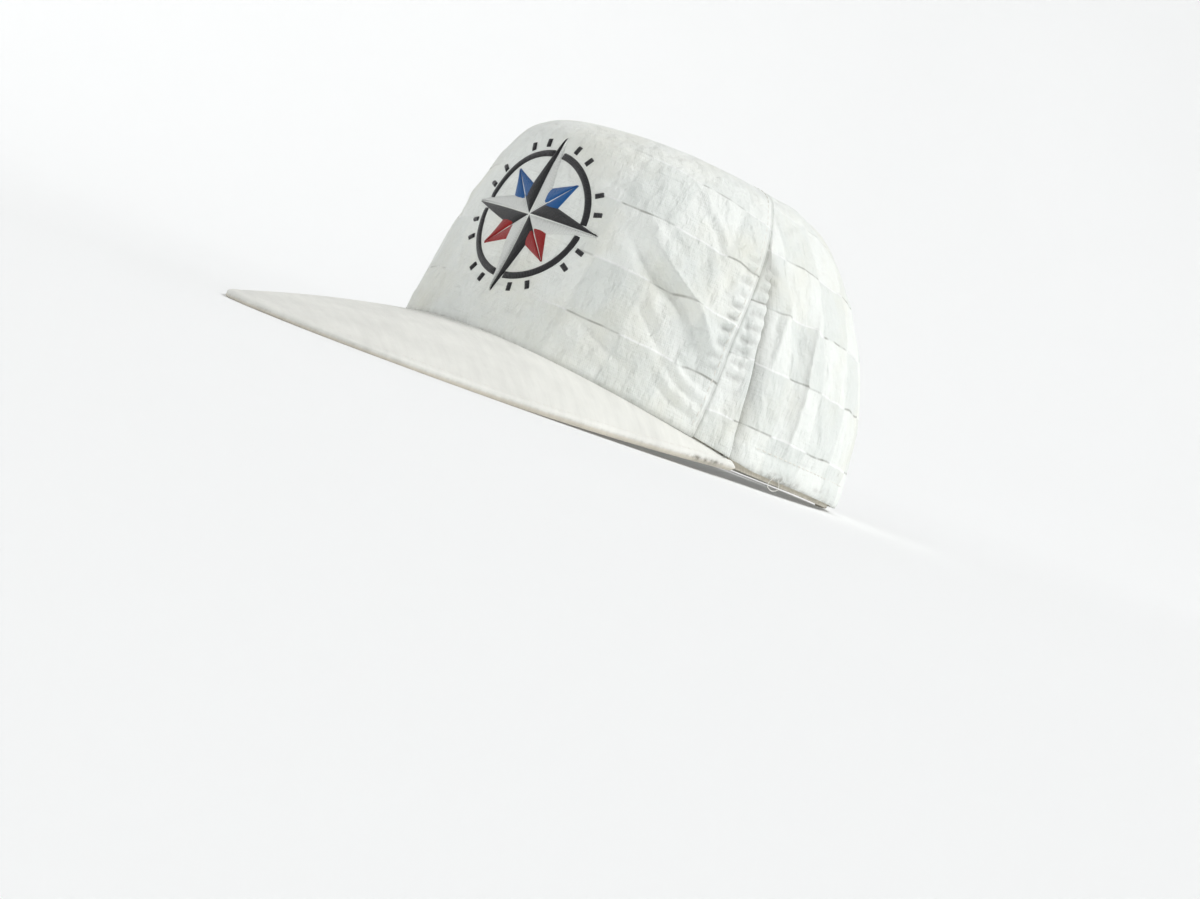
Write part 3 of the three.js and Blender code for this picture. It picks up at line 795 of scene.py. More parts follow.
def make_side_panel(name, node, hand, sizes, material, offset):
    """The left side panel, or the right one as its mirror image with crumples of its own"""

    def place(u, v):
        u = np.interp((u if hand > 0 else 1 - u) * COLUMN_COUNTS[-1], COLUMN_COUNTS, COLUMN_SHARES)
        foot_angle, foot_height = np.interp(u, FOOT_ALONG, FOOT_ANGLES), np.interp(u, FOOT_ALONG, FOOT_HEIGHTS)
        even = SEAM_FOOT + (180 - SEAM_FOOT) * u
        bend = smooth(v, 0, 0.55)
        low = np.clip(foot_angle + (even - foot_angle) * bend, SEAM_FOOT, 180)
        t = profile_t(v, foot_height, low)
        first, last = seam_angle(t) - lap_degrees(t), 180 + lap_degrees(t) / 3
        tuck = long_column(TUCK, "angle", t)
        ahead = first + (tuck - first) * u / TUCK_FOOT
        behind = tuck + (last - tuck) * (u - TUCK_FOOT) / (1 - TUCK_FOOT)
        foot_way = foot_angle + (tuck - TUCK[0, 1]) * (1 - smooth(u, TUCK_FOOT, TUCK_FOOT + 0.3))
        angle = np.where(u <= TUCK_FOOT, ahead, foot_way + (behind - foot_way) * bend)
        foot = crown_point(foot_angle, height_to_t(foot_height))
        foot_gap = np.linalg.norm(crown_point(angle, t) - foot, axis=-1)
        foot_gap = np.minimum(foot_gap, look_up(ARC_UP, angle, t) - 1.2 + 100 * (foot_angle > 140))
        lift, across, up, seam_gap, back_gap = side_lift(angle, t, foot_gap)
        place.soft = smooth(np.minimum(seam_gap, back_gap), 0.5, 6) * smooth(foot_gap, 0.5, 9)
        place.soft *= 1 - smooth(t, 0.9, 1.0)
        spots = sum(
            dark * np.exp(-(((across - x) / w) ** 2) - ((up - y) / h) ** 2) for x, y, w, h, dark in RIM_SPOTS
        )
        place.grime = 0.4 * (1 - smooth(foot_gap, 0, 1.6)) * (angle < 132) + 0.1 * (1 - smooth(foot_gap, 0, 8))
        place.grime = place.grime + (1.0 if hand > 0 else 0.4) * spots
        past, deep = past_line(TUCK, angle, t), long_column(TUCK, "dip", t) / 2.4
        place.soft *= smooth(np.abs(past), 1.5, 6)
        # the tuck's edge curls over, and the cloth behind it runs in under it
        curl = 0.3 * bell(past, 0.3, 0.25) - TUCK_UNDER * smooth(past, 0.3, 0.8)
        curl = curl + TUCK_UNDER * smooth(past, 0.8, 7.5)
        along = unit(crown_point(angle + 0.2, t) - crown_point(angle - 0.2, t))
        curled = along * (curl * deep)[..., None]
        # painted shade in the tuck's crevice, fading over the slope behind it
        place.crevice_shade = 1.1 * deep * smooth(past, 0.25, 0.7) * np.exp(-np.maximum(past - 1.4, 0) / 2.6)
        crest, proud = past_line(CREASE, angle, t), long_column(CREASE, "proud", t)
        # painted shade before the crease's crest and in the hollows of the puckers
        place.crevice_shade += proud * (0.12 * np.exp(-np.abs(crest + 0.8) / 0.9) + 0.04 * (crest < 0) * (crest > -6))
        place.crevice_shade += 0.55 * np.maximum(-side_puckers(up, seam_gap), 0)
        # the narrow wedge of cloth where the tuck runs into the seam lies in shade
        strip = seam_gap - past
        wedge = (past < 0) * smooth(past + strip, 0.4, 1.2) * (1 - smooth(strip, 2.5, 6)) * smooth(up, 58, 66)
        place.crevice_shade += 0.6 * wedge * (1 - smooth(up, 78, 86))
        # painted shade along the side seam and the back seam
        place.crevice_shade += 0.55 * (1 - smooth(seam_gap, 0.2, 1.0)) + 0.3 * (1 - smooth(back_gap, 0, 0.8))
        place.check = top_fade(t)
        points = (lay_on_crown(angle, t, lift) + curled) * [hand, 1, 1]
        return points, (hand * across - SIDE_CHECK[0], up - SIDE_CHECK[1])

    piece = cloth_grid(name, COLUMN_COUNTS[-1], 144, place)
    finish_panel(piece, place, sizes, material, offset, node)


# The brim


def brim_section(w):
    """Once round the brim's thickness as w goes from 0 to 1: out along the top, round the edge, and
    back along the underside. Gives how far out, how far up from the middle, and how round."""
    top_end, edge_end = 0.46, 0.56
    top = np.clip(w / top_end, 0, 1)
    under = np.clip((1 - w) / (1 - edge_end), 0, 1)
    turn = np.clip((w - top_end) / (edge_end - top_end), 0, 1) * math.pi
    out = np.where(w < top_end, top, np.where(w > edge_end, under, 1.0))
    up = np.where(w < top_end, 1.0, np.where(w > edge_end, -1.0, np.cos(turn)))
    past = np.where((w >= top_end) & (w <= edge_end), np.sin(turn), 0.0)
    return out, up, past


def make_brim(material):
    """Top and underside in one closed skin with a rolled edge"""
    half = BRIM_THICK / 2

    def place(u, v):
        # stations lie closer together at the two ends, where the edge turns most
        across = np.sin((u - 0.5) * math.pi) * 0.35 + (2 * u - 1) * 0.65
        out, up, past = brim_section(v)
        edge, inner = edge_point(across, 1.0), edge_point(across, 0.0)
        wide = np.linalg.norm((edge - inner)[..., :2], axis=-1)
        reach = np.clip((wide - half) / np.maximum(wide, 1e-3), 0.3, 1)
        middle = edge_point(across, out * reach)
        outward = unit((edge - inner) * [1, 1, 0])
        ends = smooth(1 - np.abs(across), 0, 0.012)
        thick = half * (0.25 + 0.75 * ends)
        gap = wide * (1 - out * reach)
        # a stitched line runs inside the edge, and the cloth is rolled between them
        line = bell(gap, EDGE_ROW, 0.7)
        roll = bell(gap, 2.4, 1.2)
        lift = thick + np.where(past > 0, 0, -0.32 * line + 0.22 * roll) * ends
        groove = bell(up, 0, 0.22) * (past > 0.9)
        points = middle + outward * (past * thick * (1 - 0.22 * groove))[..., None]
        points[..., 2] += up * lift
        # the roll is pressed flat where the brim touches the floor
        points[..., 2] += np.maximum(0.05 - stand(points)[..., 2] / MM, 0)
        place.under = smooth(-up, -0.1, 0.4)
        place.grime = 0.12 * bell(gap, 1.0, 1.5) * (up < 0.3) + 0.22 * groove
        for degrees, size in BRIM_SPOTS:
            spot = np.exp(-(((across * BRIM_END - degrees) / size) ** 2)) * bell(up, -0.2, 0.7)
            place.grime = place.grime + 0.9 * spot * (gap < 3)
        return points, (points[..., 0], points[..., 1])

    piece = cloth_grid("brim_cloth", 240, 120, place)
    write_values(piece, "grime", place.grime)
    write_values(piece, "under", place.under)
    close_open_edges(piece)
    shade(piece, 55)
    belongs(piece, material, "brim_cotton", "brim")


def close_open_edges(piece):
    """Closes the inner edge and the ends of a section that was laid out as one sheet"""
    merge_and_face_out(piece)
    bpy.ops.object.mode_set(mode="EDIT")
    bpy.ops.mesh.select_all(action="DESELECT")
    bpy.ops.mesh.select_mode(type="EDGE")
    bpy.ops.mesh.select_non_manifold(extend=False)
    bpy.ops.mesh.fill()
    bpy.ops.mesh.select_all(action="SELECT")
    bpy.ops.mesh.normals_make_consistent(inside=False)
    bpy.ops.object.mode_set(mode="OBJECT")


# The sweatband


def band_low(angle):
    """Height of the sweatband's lower edge"""
    return np.maximum(seam_height(angle) - BAND_BELOW, 0)


def make_sweatband(material):
    """The folded band inside the rim"""

    def place(u, v):
        angle = (2 * u - 1) * BAND_END
        z = band_low(angle) + BAND_TALL * v
        t = height_to_t(np.maximum(z, seam_height(angle)))
        room = (STRAP_THICK + SEAT) * smooth(np.abs(angle), *BAND_ROOM)
        # the lower edge is a soft fold, with a stitched line just above it
        mm_up = BAND_TALL * v
        sink = 0.25 * bell(mm_up, BAND_ROW, 0.5) + 0.12 * bell(mm_up, 22, 0.5)
        points = lay_on_crown(angle, t, -(BAND_INSET + room) - sink * 0.6)
        points[..., 2] = z
        across, _ = cloth_place(angle, np.zeros_like(angle), 0)
        place.grime = 0.35 * (1 - smooth(mm_up, 0, 3)) + 0.12
        return points, (across, mm_up)

    piece = cloth_grid("sweatband_twill", 300, 26, place)
    write_values(piece, "grime", place.grime)
    merge_and_face_out(piece)
    apply_modifier(piece, "SOLIDIFY", thickness=BAND_THICK * MM, offset=-1, use_even_offset=True)
    round_edges(piece, 0.45 * MM, 3, 62)
    shade(piece)
    belongs(piece, material, "sweatband_cotton", "sweatband")


# The snap strap


def strap_depth(angle, outer):
    """How deep a strap half lies under the crown's face"""
    if outer:
        return np.full(np.shape(angle), BAND_INSET)
    under = BAND_INSET + STRAP_THICK + SEAT
    return under + (BAND_INSET - under) * smooth(angle, STRAP_TIP + STRAP_EASE[0], STRAP_TIP + STRAP_EASE[1])


def strap_point(angle, up, depth):
    """A place on the strap: degrees round the head, millimetres above its lower edge"""
    z = STRAP_LOW + np.broadcast_to(up, np.shape(angle))
    t = height_to_t(np.maximum(z, seam_height(angle)))
    point = lay_on_crown(angle, t, -np.broadcast_to(depth, np.shape(angle)))
    point[..., 2] = z
    return point


def make_strap(name, node, outer, material):
    """One half of the strap with its rounded free end; the outer half has holes, the inner one pegs"""
    first, last = (STRAP_ROOT, STRAP_TIP) if outer else (360 - STRAP_TIP, 360 - STRAP_ROOT)
    mm_per_degree = BACK_REACH * math.pi / 180

    def place(u, v):
        angle = first + (last - first) * u
        to_tip = (last - angle if outer else angle - first) * mm_per_degree
        corner = np.clip(STRAP_TIP_ROUND - to_tip, 0, STRAP_TIP_ROUND)
        cut = STRAP_TIP_ROUND - np.sqrt(np.maximum(STRAP_TIP_ROUND**2 - corner**2, 0))
        up = cut + (STRAP_TALL - 2 * cut) * v
        depth = strap_depth(angle, outer)
        return strap_point(angle, up, depth), (angle * mm_per_degree, up)

    piece = cloth_grid(name, 120, 20, place)
    merge_and_face_out(piece)
    apply_modifier(piece, "SOLIDIFY", thickness=STRAP_THICK * MM, offset=-1, use_even_offset=True)
    if outer:
        cutter = snap_cylinders("snap_cutter", HOLE_RADIUS, -4, 9)
        apply_modifier(piece, "BOOLEAN", object=cutter, operation="DIFFERENCE", solver="EXACT")
        bpy.data.objects.remove(cutter)
    round_edges(piece, 0.28 * MM, 2, 50)
    if not outer:
        under = BAND_INSET + STRAP_THICK + SEAT
        pegs = snap_cylinders("snap_pegs", PEG_RADIUS, under - PEG_TALL, under + STRAP_THICK / 2)
        round_edges(pegs, 0.7 * MM, 4, 30)
        join([piece, pegs])
    shade(piece, 35)
    belongs(piece, material, "strap_plastic", node)


def snap_cylinders(name, radius, from_depth, to_depth):
    """A cylinder at each snap, square to the strap"""
    made = []
    for place in SNAP_PLACES:
        angle = np.array(180 + place * STRAP_PITCH)
        t = height_to_t(STRAP_LOW + STRAP_TALL / 2)
        point, normal = crown_point(angle, t), crown_normal(angle, t)
        middle = stand(point - normal * (from_depth + to_depth) / 2)
        turned = tip_over(normal, TILT)
        deselect()
        bpy.ops.mesh.primitive_cylinder_add(
            vertices=32, radius=radius * MM, depth=(to_depth - from_depth) * MM, location=middle.tolist()
        )
        cylinder = bpy.context.object
        cylinder.rotation_mode = "QUATERNION"
        cylinder.rotation_quaternion = Vector(turned.tolist()).to_track_quat("Z", "Y")
        bpy.ops.object.transform_apply(location=True, rotation=True, scale=True)
        made.append(cylinder)
    joined = join(made)
    joined.name = joined.data.name = name
    return joined


def join(pieces):
    """Joins pieces into the first one"""
    pick(*pieces)
    bpy.ops.object.join()
    return pieces[0]


# Stitches


def stitch_template(sizes):
    """One stitch: a capsule that lies along X with its top at +Z"""
    deselect()
    bpy.ops.mesh.primitive_uv_sphere_add(segments=8, ring_count=6, radius=0.5)
    piece = bpy.context.object
    points = read_points(piece)
    faces = [list(face.vertices) for face in piece.data.polygons]
    bpy.data.objects.remove(piece)
    lengthwise = np.sign(points[:, 2]) * np.abs(points[:, 2] * 2) ** 0.6 / 2
    wide = sizes.thread / MM
    body = np.stack([lengthwise * sizes.stitch / MM, points[:, 1] * wide, points[:, 0] * wide * 0.8], 1)
    return body, faces


def stitch_rows(name, rows, sizes, material, slot, strands=()):
    """Rows of stitches joined into one piece; each row is its path and the cloth's normals along it"""
    body, faces = stitch_template(sizes)
    rng = np.random.default_rng(11)
    points, corners = [], []
    for path, normals in rows:
        along = np.concatenate([[0], np.cumsum(np.linalg.norm(np.diff(path, axis=0), axis=1))])
        pitch = sizes.stitch_pitch / MM
        middles = np.arange(pitch / 2, along[-1], pitch)
        for middle in middles:
            centre = [np.interp(middle, along, path[:, k]) for k in range(3)]
            ahead = np.array([np.interp(middle + 0.6, along, path[:, k]) for k in range(3)])
            behind = np.array([np.interp(middle - 0.6, along, path[:, k]) for k in range(3)])
            up = unit(np.array([np.interp(middle, along, normals[:, k]) for k in range(3)]))
            x = unit(ahead - behind + rng.normal(0, 0.035, 3))
            y = unit(np.cross(up, x))
            z = np.cross(x, y)
            corners.extend([i + len(points) * len(body) for i in face] for face in faces)
            points.append(body[:, :1] * x + body[:, 1:2] * y + body[:, 2:] * z + centre)
    points = np.concatenate(points)
    for path, radius in strands:
        ring, quads = tube(path, radius)
        corners.extend([i + len(points) for i in quad] for quad in quads)
        points = np.concatenate([points, ring])
    mesh = bpy.data.meshes.new(name)
    mesh.from_pydata(stand(points).tolist(), [], corners)
    piece = add_object(name, mesh)
    merge_and_face_out(piece, 0.000001)
    shade(piece, 60)
    belongs(piece, material, slot)


def tube(path, radius, sides=6):
    """A closed thin tube along a path"""
    path = np.asarray(path, float)
    ahead = unit(np.gradient(path, axis=0))
    side = unit(np.cross(ahead, [0.3, 0.2, 1.0]))
    other = np.cross(ahead, side)
    turn = np.linspace(0, 2 * math.pi, sides, endpoint=False)
    round_ = side[:, None] * np.cos(turn)[:, None] + other[:, None] * np.sin(turn)[:, None]
    ring = path[:, None] + radius * round_
    quads = [
        [i * sides + j, i * sides + (j + 1) % sides, (i + 1) * sides + (j + 1) % sides, (i + 1) * sides + j]
        for i in range(len(path) - 1)
        for j in range(sides)
    ]
    last = (len(path) - 1) * sides
    return ring.reshape(-1, 3), quads + [list(range(sides))[::-1], [last + j for j in range(sides)]]


def crown_row(angle, t, lift):
    """A stitch row on the crown: its path, a little proud of the cloth, and the normals"""
    return lay_on_crown(angle, t, lift - 0.02), crown_normal(angle, t)


def mirrored(hand, path, normals):
    """A stitch row of the wearer's left, or its mirror image on the right"""
    return path * [hand, 1, 1], normals * [hand, 1, 1]


def seam_rows(hand):
    """One row on the front panel beside a side seam, and one on the side panel beside the back seam"""
    t = np.linspace(float(height_to_t(8.0)), 0.985, 400)
    angle = seam_angle(t) - np.degrees(SEAM_ROW / np.maximum(column("side", t), 8))
    lift = front_lift(hand * angle, t)[0]
    yield crown_row(hand * angle, t, lift)
    t = np.linspace(float(height_to_t(ARCH_TOP + 2)), 0.985, 300)
    angle = 180 - np.degrees(SEAM_ROW / np.maximum(column("side", t), 8))
    lift = side_lift(angle, t, np.full(t.shape, 50.0))[0]
    yield mirrored(hand, *crown_row(angle, t, lift))


def hem_rows(hand):
    """The row that holds the turned-up hem, and the row round the arched opening"""
    angle = np.linspace(78, 150, 300)
    x = crown_point(angle, height_to_t(HEM_ROW_HEIGHT))[:, 0]
    angle = angle[x > ARCH_HALF_WIDTH + 8]
    t = height_to_t(np.full(angle.shape, HEM_ROW_HEIGHT))
    lift = side_lift(angle, t, np.full(t.shape, HEM_ROW))[0]
    yield mirrored(hand, *crown_row(angle, t, lift))
    keep = FOOT_ANGLES > 120
    keep &= crown_point(FOOT_ANGLES, height_to_t(FOOT_HEIGHTS))[:, 0] < ARCH_HALF_WIDTH + 0.1
    edge = crown_point(FOOT_ANGLES[keep], height_to_t(FOOT_HEIGHTS[keep]))[::12]
    normals = crown_normal(FOOT_ANGLES[keep], height_to_t(FOOT_HEIGHTS[keep]))[::12]
    outward = unit(np.cross(np.gradient(edge, axis=0), normals))
    path = edge - outward * ARCH_ROW
    t = height_to_t(path[:, 2])
    angle = back_angle(path[:, 0], t)
    path = lay_on_crown(angle, t, np.full(t.shape, 0.25))
    yield mirrored(hand, path, crown_normal(angle, t))


def brim_rows():
    """The rows inside the brim's edge, above and below"""
    across = np.linspace(-0.93, 0.93, 700)
    edge, inner = edge_point(across, 1.0), edge_point(across, 0.0)
    wide = np.linalg.norm((edge - inner)[:, :2], axis=1)
    out = np.clip((wide - EDGE_ROW) / wide, 0, 1)
    for side in (1, -1):
        path = edge_point(across, out)
        path[:, 2] += side * (BRIM_THICK / 2 - 0.15)
        yield path, np.broadcast_to([0.0, 0.0, float(side)], path.shape)


def band_rows():
    """The row above the sweatband's fold, on the inside"""
    angle = np.linspace(-BAND_END + 2, BAND_END - 2, 900)
    z = band_low(angle) + BAND_ROW
    t = height_to_t(np.maximum(z, seam_height(angle)))
    room = (STRAP_THICK + SEAT) * smooth(np.abs(angle), *BAND_ROOM)
    path = lay_on_crown(angle, t, -(BAND_INSET + room) - BAND_THICK - 0.1)
    path[:, 2] = z
    yield path, -crown_normal(angle, t)


def loose_loop():
    """A thread that has pulled out of the hem and hangs in a small loop"""
    turn = np.linspace(-0.25 * math.pi, 1.25 * math.pi, 40)
    angle = 87.0 + 1.75 * np.cos(turn)
    t = height_to_t(np.full(turn.shape, 2.0))
    path = lay_on_crown(angle, t, 0.35 + 0.5 * np.sin(turn * 2))
    path[:, 2] = 0.6 - 2.6 * np.sin(turn)
    return path, 0.17


# The emblem: a compass rose in satin stitch

EMBLEM_CENTRE = (-1.0, 57.0)


def front_place(across, up, lift):
    """A point of the front panel from its cloth coordinates"""
    t = np.interp(up, ARC_UP[180], ARC_TS)
    angle = np.degrees(np.asarray(across, float) / GRAIN_REACH)
    for _ in range(25):
        angle = angle + (across - cloth_place(angle, t, 0)[0]) * 0.6
        angle = np.clip(angle, -60, 60)
    relief = front_lift(angle, t)[0]
    return lay_on_crown(angle, t, relief + lift)


def satin_patch(name, corners, sizes, cells=(14, 30), dome=1.0):
    """A quadrilateral or triangle of satin stitches, whose threads run from one long side to the other"""
    a, b, c, d = (np.array(corner, float) + EMBLEM_CENTRE for corner in corners)

    def place(u, v):
        u1, v1 = u[:, None], v[:, None]
        flat = (a * (1 - u1) + b * u1) * (1 - v1) + (d * (1 - u1) + c * u1) * v1
        high = (1 - np.abs(2 * u - 1) ** 3) * (1 - np.abs(2 * v - 1) ** 14)
        points = front_place(flat[:, 0], flat[:, 1], 0.05 + sizes.satin / MM * dome * high)
        wide = np.linalg.norm(b - a) * (1 - v) + np.linalg.norm(c - d) * v
        tall = (np.linalg.norm(d - a) + np.linalg.norm(c - b)) / 2
        return points, ((u - 0.5) * wide, v * tall)

    return cloth_grid(name, cells[0], cells[1], place)


def satin_ring(name, inner, outer, first, last, sizes):
    """Part of a ring in satin stitch, its threads across the ring"""

    def place(u, v):
        turn = np.radians(first + (last - first) * v)
        radius = inner + (outer - inner) * u
        across = EMBLEM_CENTRE[0] + radius * np.sin(turn)
        up = EMBLEM_CENTRE[1] + radius * np.cos(turn)
        high = (1 - np.abs(2 * u - 1) ** 3) * (1 - np.abs(2 * v - 1) ** 30)
        points = front_place(across, up, 0.05 + sizes.satin / MM * 0.9 * high)
        return points, (radius, (last - first) / 57.3 * v * (inner + outer) / 2)

    count = max(12, int(abs(last - first) / 57.3 * outer * 1.6))
    return cloth_grid(name, 8, count, place)


def turned(radius, degrees):
    """A place at a radius from the emblem's centre, clockwise from its top"""
    turn = math.radians(degrees)
    return (radius * math.sin(turn), radius * math.cos(turn))


LONG_POINT, SHORT_POINT, WAIST = 30.5, 21.0, 8.6


def rose_points(sizes):
    """The eight points of the rose as halves, with the thread colour of each"""
    gap = 0.25
    for k, degrees in enumerate(range(45, 360, 90)):
        tint = "blue" if k in (0, 3) else "red"
        for side in (-1, 1):
            waist = turned(WAIST * 1.3, degrees + side * 26)
            foot, tip = turned(1.5, degrees + side * 8), turned(SHORT_POINT, degrees + side * gap)
            yield satin_patch("rose_short", (foot, waist, tip, tip), sizes, dome=0.8), tint
    for degrees in range(0, 360, 90):
        for side in (-1, 1):
            waist = turned(WAIST, degrees + side * 45)
            foot, tip = turned(0.3, degrees + side * 45), turned(LONG_POINT, degrees + side * 0.4)
            shade_of = "black" if side < 0 else "white"
            yield satin_patch("rose_long", (foot, waist, tip, tip), sizes, dome=1.1), shade_of


def make_emblem(sizes, materials):
    """All the satin stitching, joined by thread colour"""
    parts = {"black": [], "white": [], "blue": [], "red": []}
    for first in range(0, 360, 90):
        parts["black"].append(satin_ring("rose_ring", 22.2, 24.8, first + 5, first + 85, sizes))
    for degrees in range(0, 360, 15):
        if degrees % 45:
            low, high = turned(26.1, degrees - 2.1), turned(26.1, degrees + 2.1)
            far_high, far_low = turned(29.4, degrees + 1.8), turned(29.4, degrees - 1.8)
            parts["black"].append(satin_patch("tick", (low, high, far_high, far_low), sizes, (8, 8)))
    for patch, tint in rose_points(sizes):
        parts[tint].append(patch)
    for tint, patches in parts.items():
        piece = join(patches)
        piece.name = piece.data.name = f"emblem_{tint}_thread"
        merge_and_face_out(piece, 0.000004)
        face_like(piece, Vector((0, -1, 0.1)))
        apply_modifier(piece, "SOLIDIFY", thickness=0.35 * MM, offset=-1)
        shade(piece, 50)
        belongs(piece, materials[tint], "white_cotton")


def face_like(piece, way):
    """Turns the faces of open patches the given way"""
    total = sum((face.normal * face.area for face in piece.data.polygons), Vector())
    if total.dot(way) < 0:
        piece.data.flip_normals()


# Materials


def add(tree, kind, *values, out=0, **more):
    """Adds one node and gives one of its outputs. Its kind may be followed by its mode. Values go to
    its inputs in order, words with a capital to the input of that name, and other words are its
    settings. An input is a value, or another node's output to link."""
    kind, *mode = kind.split()
    node = tree.nodes.new("ShaderNode" + kind)
    if mode:
        setattr(node, "data_type" if kind == "Mix" else "operation", mode[0])
    inputs = {}
    for name, value in more.items():
        if name[0].isupper():
            inputs[node.inputs[name.replace("_", " ")]] = value
        else:
            setattr(node, name, value)
    free = [socket for socket in node.inputs if socket.enabled]
    for socket, value in (*zip(free, values), *inputs.items()):
        if isinstance(value, bpy.types.NodeSocket):
            tree.links.new(value, socket)
        elif socket.type == "RGBA":
            socket.default_value = (*value, 1)[:4]
        else:
            socket.default_value = value
    shown = [socket for socket in node.outputs if socket.enabled]
    return node.outputs[out] if isinstance(out, str) else shown[out] if shown else None


def new_material(name, rough, **sockets):
    """A material with its shader, the uniform values set on the shader's own sockets"""
    material = bpy.data.materials.new(name)
    material.use_nodes = True
    tree = material.node_tree
    tree.nodes.clear()
    values = {"Roughness": rough, "IOR": 1.5, "Metallic": 0.0, **sockets}
    shader = add(tree, "BsdfPrincipled", **values).node
    add(tree, "OutputMaterial", Surface=shader.outputs[0])
    return material, tree, shader


def wear(material, shader, **patterns):
    """Links patterns to the shader's sockets of those names, and gives the finished material"""
    for name, pattern in patterns.items():
        material.node_tree.links.new(pattern, shader.inputs[name.replace("_", " ")])
    return material


def cloth_uv(tree):
    """The cloth's own coordinates in millimetres, together and apart"""
    uv = add(tree, "UVMap", uv_map="cloth")
    across, up, _ = add(tree, "SeparateXYZ", uv).node.outputs
    return uv, across, up


def plain_weave(tree, across, up):
    """Warp over weft, at 0.9 mm, twice their real spacing, because finer threads don't show"""
    turns = (add(tree, "Math MULTIPLY", way, 2 * math.pi / 0.9) for way in (across, up))
    warp, weft = (add(tree, "Math SINE", turn) for turn in turns)
    return add(tree, "Math MULTIPLY", warp, weft)


def square_wave(tree, value, pitch, edge):
    """A wave of -1 and 1 that changes at each multiple of the pitch, within an edge of that width"""
    cells = add(tree, "Math DIVIDE", value, pitch)
    saw = add(tree, "Math PINGPONG", add(tree, "Math ADD", cells, 0.5), 1.0)
    steep = add(tree, "Math MULTIPLY", add(tree, "Math SUBTRACT", saw, 0.5), 2 * pitch / edge)
    return add(tree, "Math MAXIMUM", add(tree, "Math MINIMUM", steep, 1.0), -1.0)


def dirtied(tree, base, grime, patch_scale):
    """A base colour with dirt where the piece's grime value and a patchy noise say"""
    mask = add(tree, "Attribute", attribute_name="grime", out="Fac")
    where = add(tree, "TexCoord", out="Object")
    patch = add(tree, "TexNoise", where, patch_scale / MM, 4.0, 0.65)
    broken = add(tree, "Math MULTIPLY", add(tree, "Math SUBTRACT", patch, 0.3), 2.4, use_clamp=True)
    return add(tree, "Mix RGBA", add(tree, "Math MULTIPLY", mask, broken, use_clamp=True), base, grime)


def held(tree, value, strength, most):
    """A value by a strength, held between 0 and 1, as a share of the most that may show"""
    return add(tree, "Math MULTIPLY", add(tree, "Math MULTIPLY", value, strength, use_clamp=True), most)


def damask_cotton(colours):
    """Damask cotton, woven white on white in a check. The satin squares have long floats, so they
    stand a little higher and look greyer and smoother. Where their floats end above a plain square,
    the step keeps a fine line of shade."""
    material, tree, shader = new_material(
        "woven_damask_cotton", 0.85, Sheen_Weight=0.2, Sheen_Roughness=0.5, Specular_IOR_Level=0.3
    )
    uv, across, up = cloth_uv(tree)
    strength = add(tree, "Attribute", attribute_name="check", out="Fac")
    # the threads wander a little, so that the lines between squares aren't ruled
    wander = add(tree, "TexNoise", uv, 0.06, 1.0)
    up = add(tree, "Math ADD", up, add(tree, "Math MULTIPLY", add(tree, "Math SUBTRACT", wander, 0.5), 2.2))
    columns = square_wave(tree, across, CHECK_ACROSS, 1.6)
    satin = satin_share(tree, columns, square_wave(tree, up, CHECK_UP, 0.6))
    # a row's line of shade lies just below the satin squares that end there
    above = square_wave(tree, add(tree, "Math ADD", up, 1.5), CHECK_UP, 0.6)
    above = satin_share(tree, columns, above)
    row_end = add(tree, "Math MULTIPLY", above, near_line(tree, up, CHECK_UP, 0.55))
    # and where a plain square ends, the satin below it stands up to the light
    below = add(tree, "Math SUBTRACT", 1.0, above)
    row_start = add(tree, "Math MULTIPLY", below, near_line(tree, up, CHECK_UP, 0.6))
    # the shade comes and goes along the row
    broken = add(tree, "TexNoise", add(tree, "Mapping", uv, Scale=(1, 0.3, 1)), 0.11, 1.0)
    broken = add(tree, "Math MULTIPLY_ADD", broken, 4.5, -1.6, use_clamp=True)
    row_end = add(tree, "Math MULTIPLY", row_end, broken)
    weave = plain_weave(tree, across, up)
    slubs = add(tree, "TexNoise", add(tree, "Mapping", uv, Scale=(0.22, 2.2, 1)), 0.7, 3.0, 0.6)
    floats = add(tree, "TexNoise", add(tree, "Mapping", uv, Scale=(2.4, 0.3, 1)), 0.7, 3.0, 0.6)
    where = add(tree, "TexCoord", out="Object")
    crush = add(tree, "TexNoise", add(tree, "Mapping", where, Scale=(1, 1, 0.6)), 0.17 / MM, 3.0, 0.5)
    tone = add(tree, "Math MULTIPLY_ADD", add(tree, "Math SUBTRACT", crush, 0.5), 1.0, satin)
    tone = add(tree, "Math MULTIPLY", tone, strength, use_clamp=True)
    base = add(tree, "Mix RGBA", tone, colours.cotton, colours.cotton_satin)
    yellowed = add(tree, "TexNoise", where, 0.035 / MM, 3.0, 0.6)
    deep = add(tree, "Attribute", attribute_name="crevice_shade", out="Fac")
    for share, tint in (
        (add(tree, "Math MULTIPLY_ADD", yellowed, 1.9, -0.85, use_clamp=True), colours.aged),
        (held(tree, row_end, strength, 0.9), colours.step_shade),
        (held(tree, row_start, strength, 0.8), colours.step_light),
        # painted shade deep in folds and seams
        (held(tree, deep, 0.85, 1.0), colours.crevice_shade),
    ):
        base = add(tree, "Mix RGBA", share, base, tint)
    base = dirtied(tree, base, colours.grime, 0.35)
    rough = add(tree, "Math MULTIPLY_ADD", satin, -0.2, 0.9)
    raised = add(tree, "Math MULTIPLY", satin, strength)
    threads = add(tree, "Math ADD", slubs, floats)
    normal = add(tree, "Bump", 0.85, 3.1 * MM, Height=crush)
    for share, deep, height in ((1.0, 0.22, raised), (0.8, 0.25, threads), (0.6, 0.04, weave)):
        normal = add(tree, "Bump", share, deep * MM, Height=height, Normal=normal)
    return wear(material, shader, Base_Color=base, Roughness=rough, Normal=normal)


def satin_share(tree, columns, rows):
    """1 in the satin squares and 0 in the plain ones"""
    return add(tree, "Math MULTIPLY_ADD", add(tree, "Math MULTIPLY", columns, rows), -0.5, 0.5)


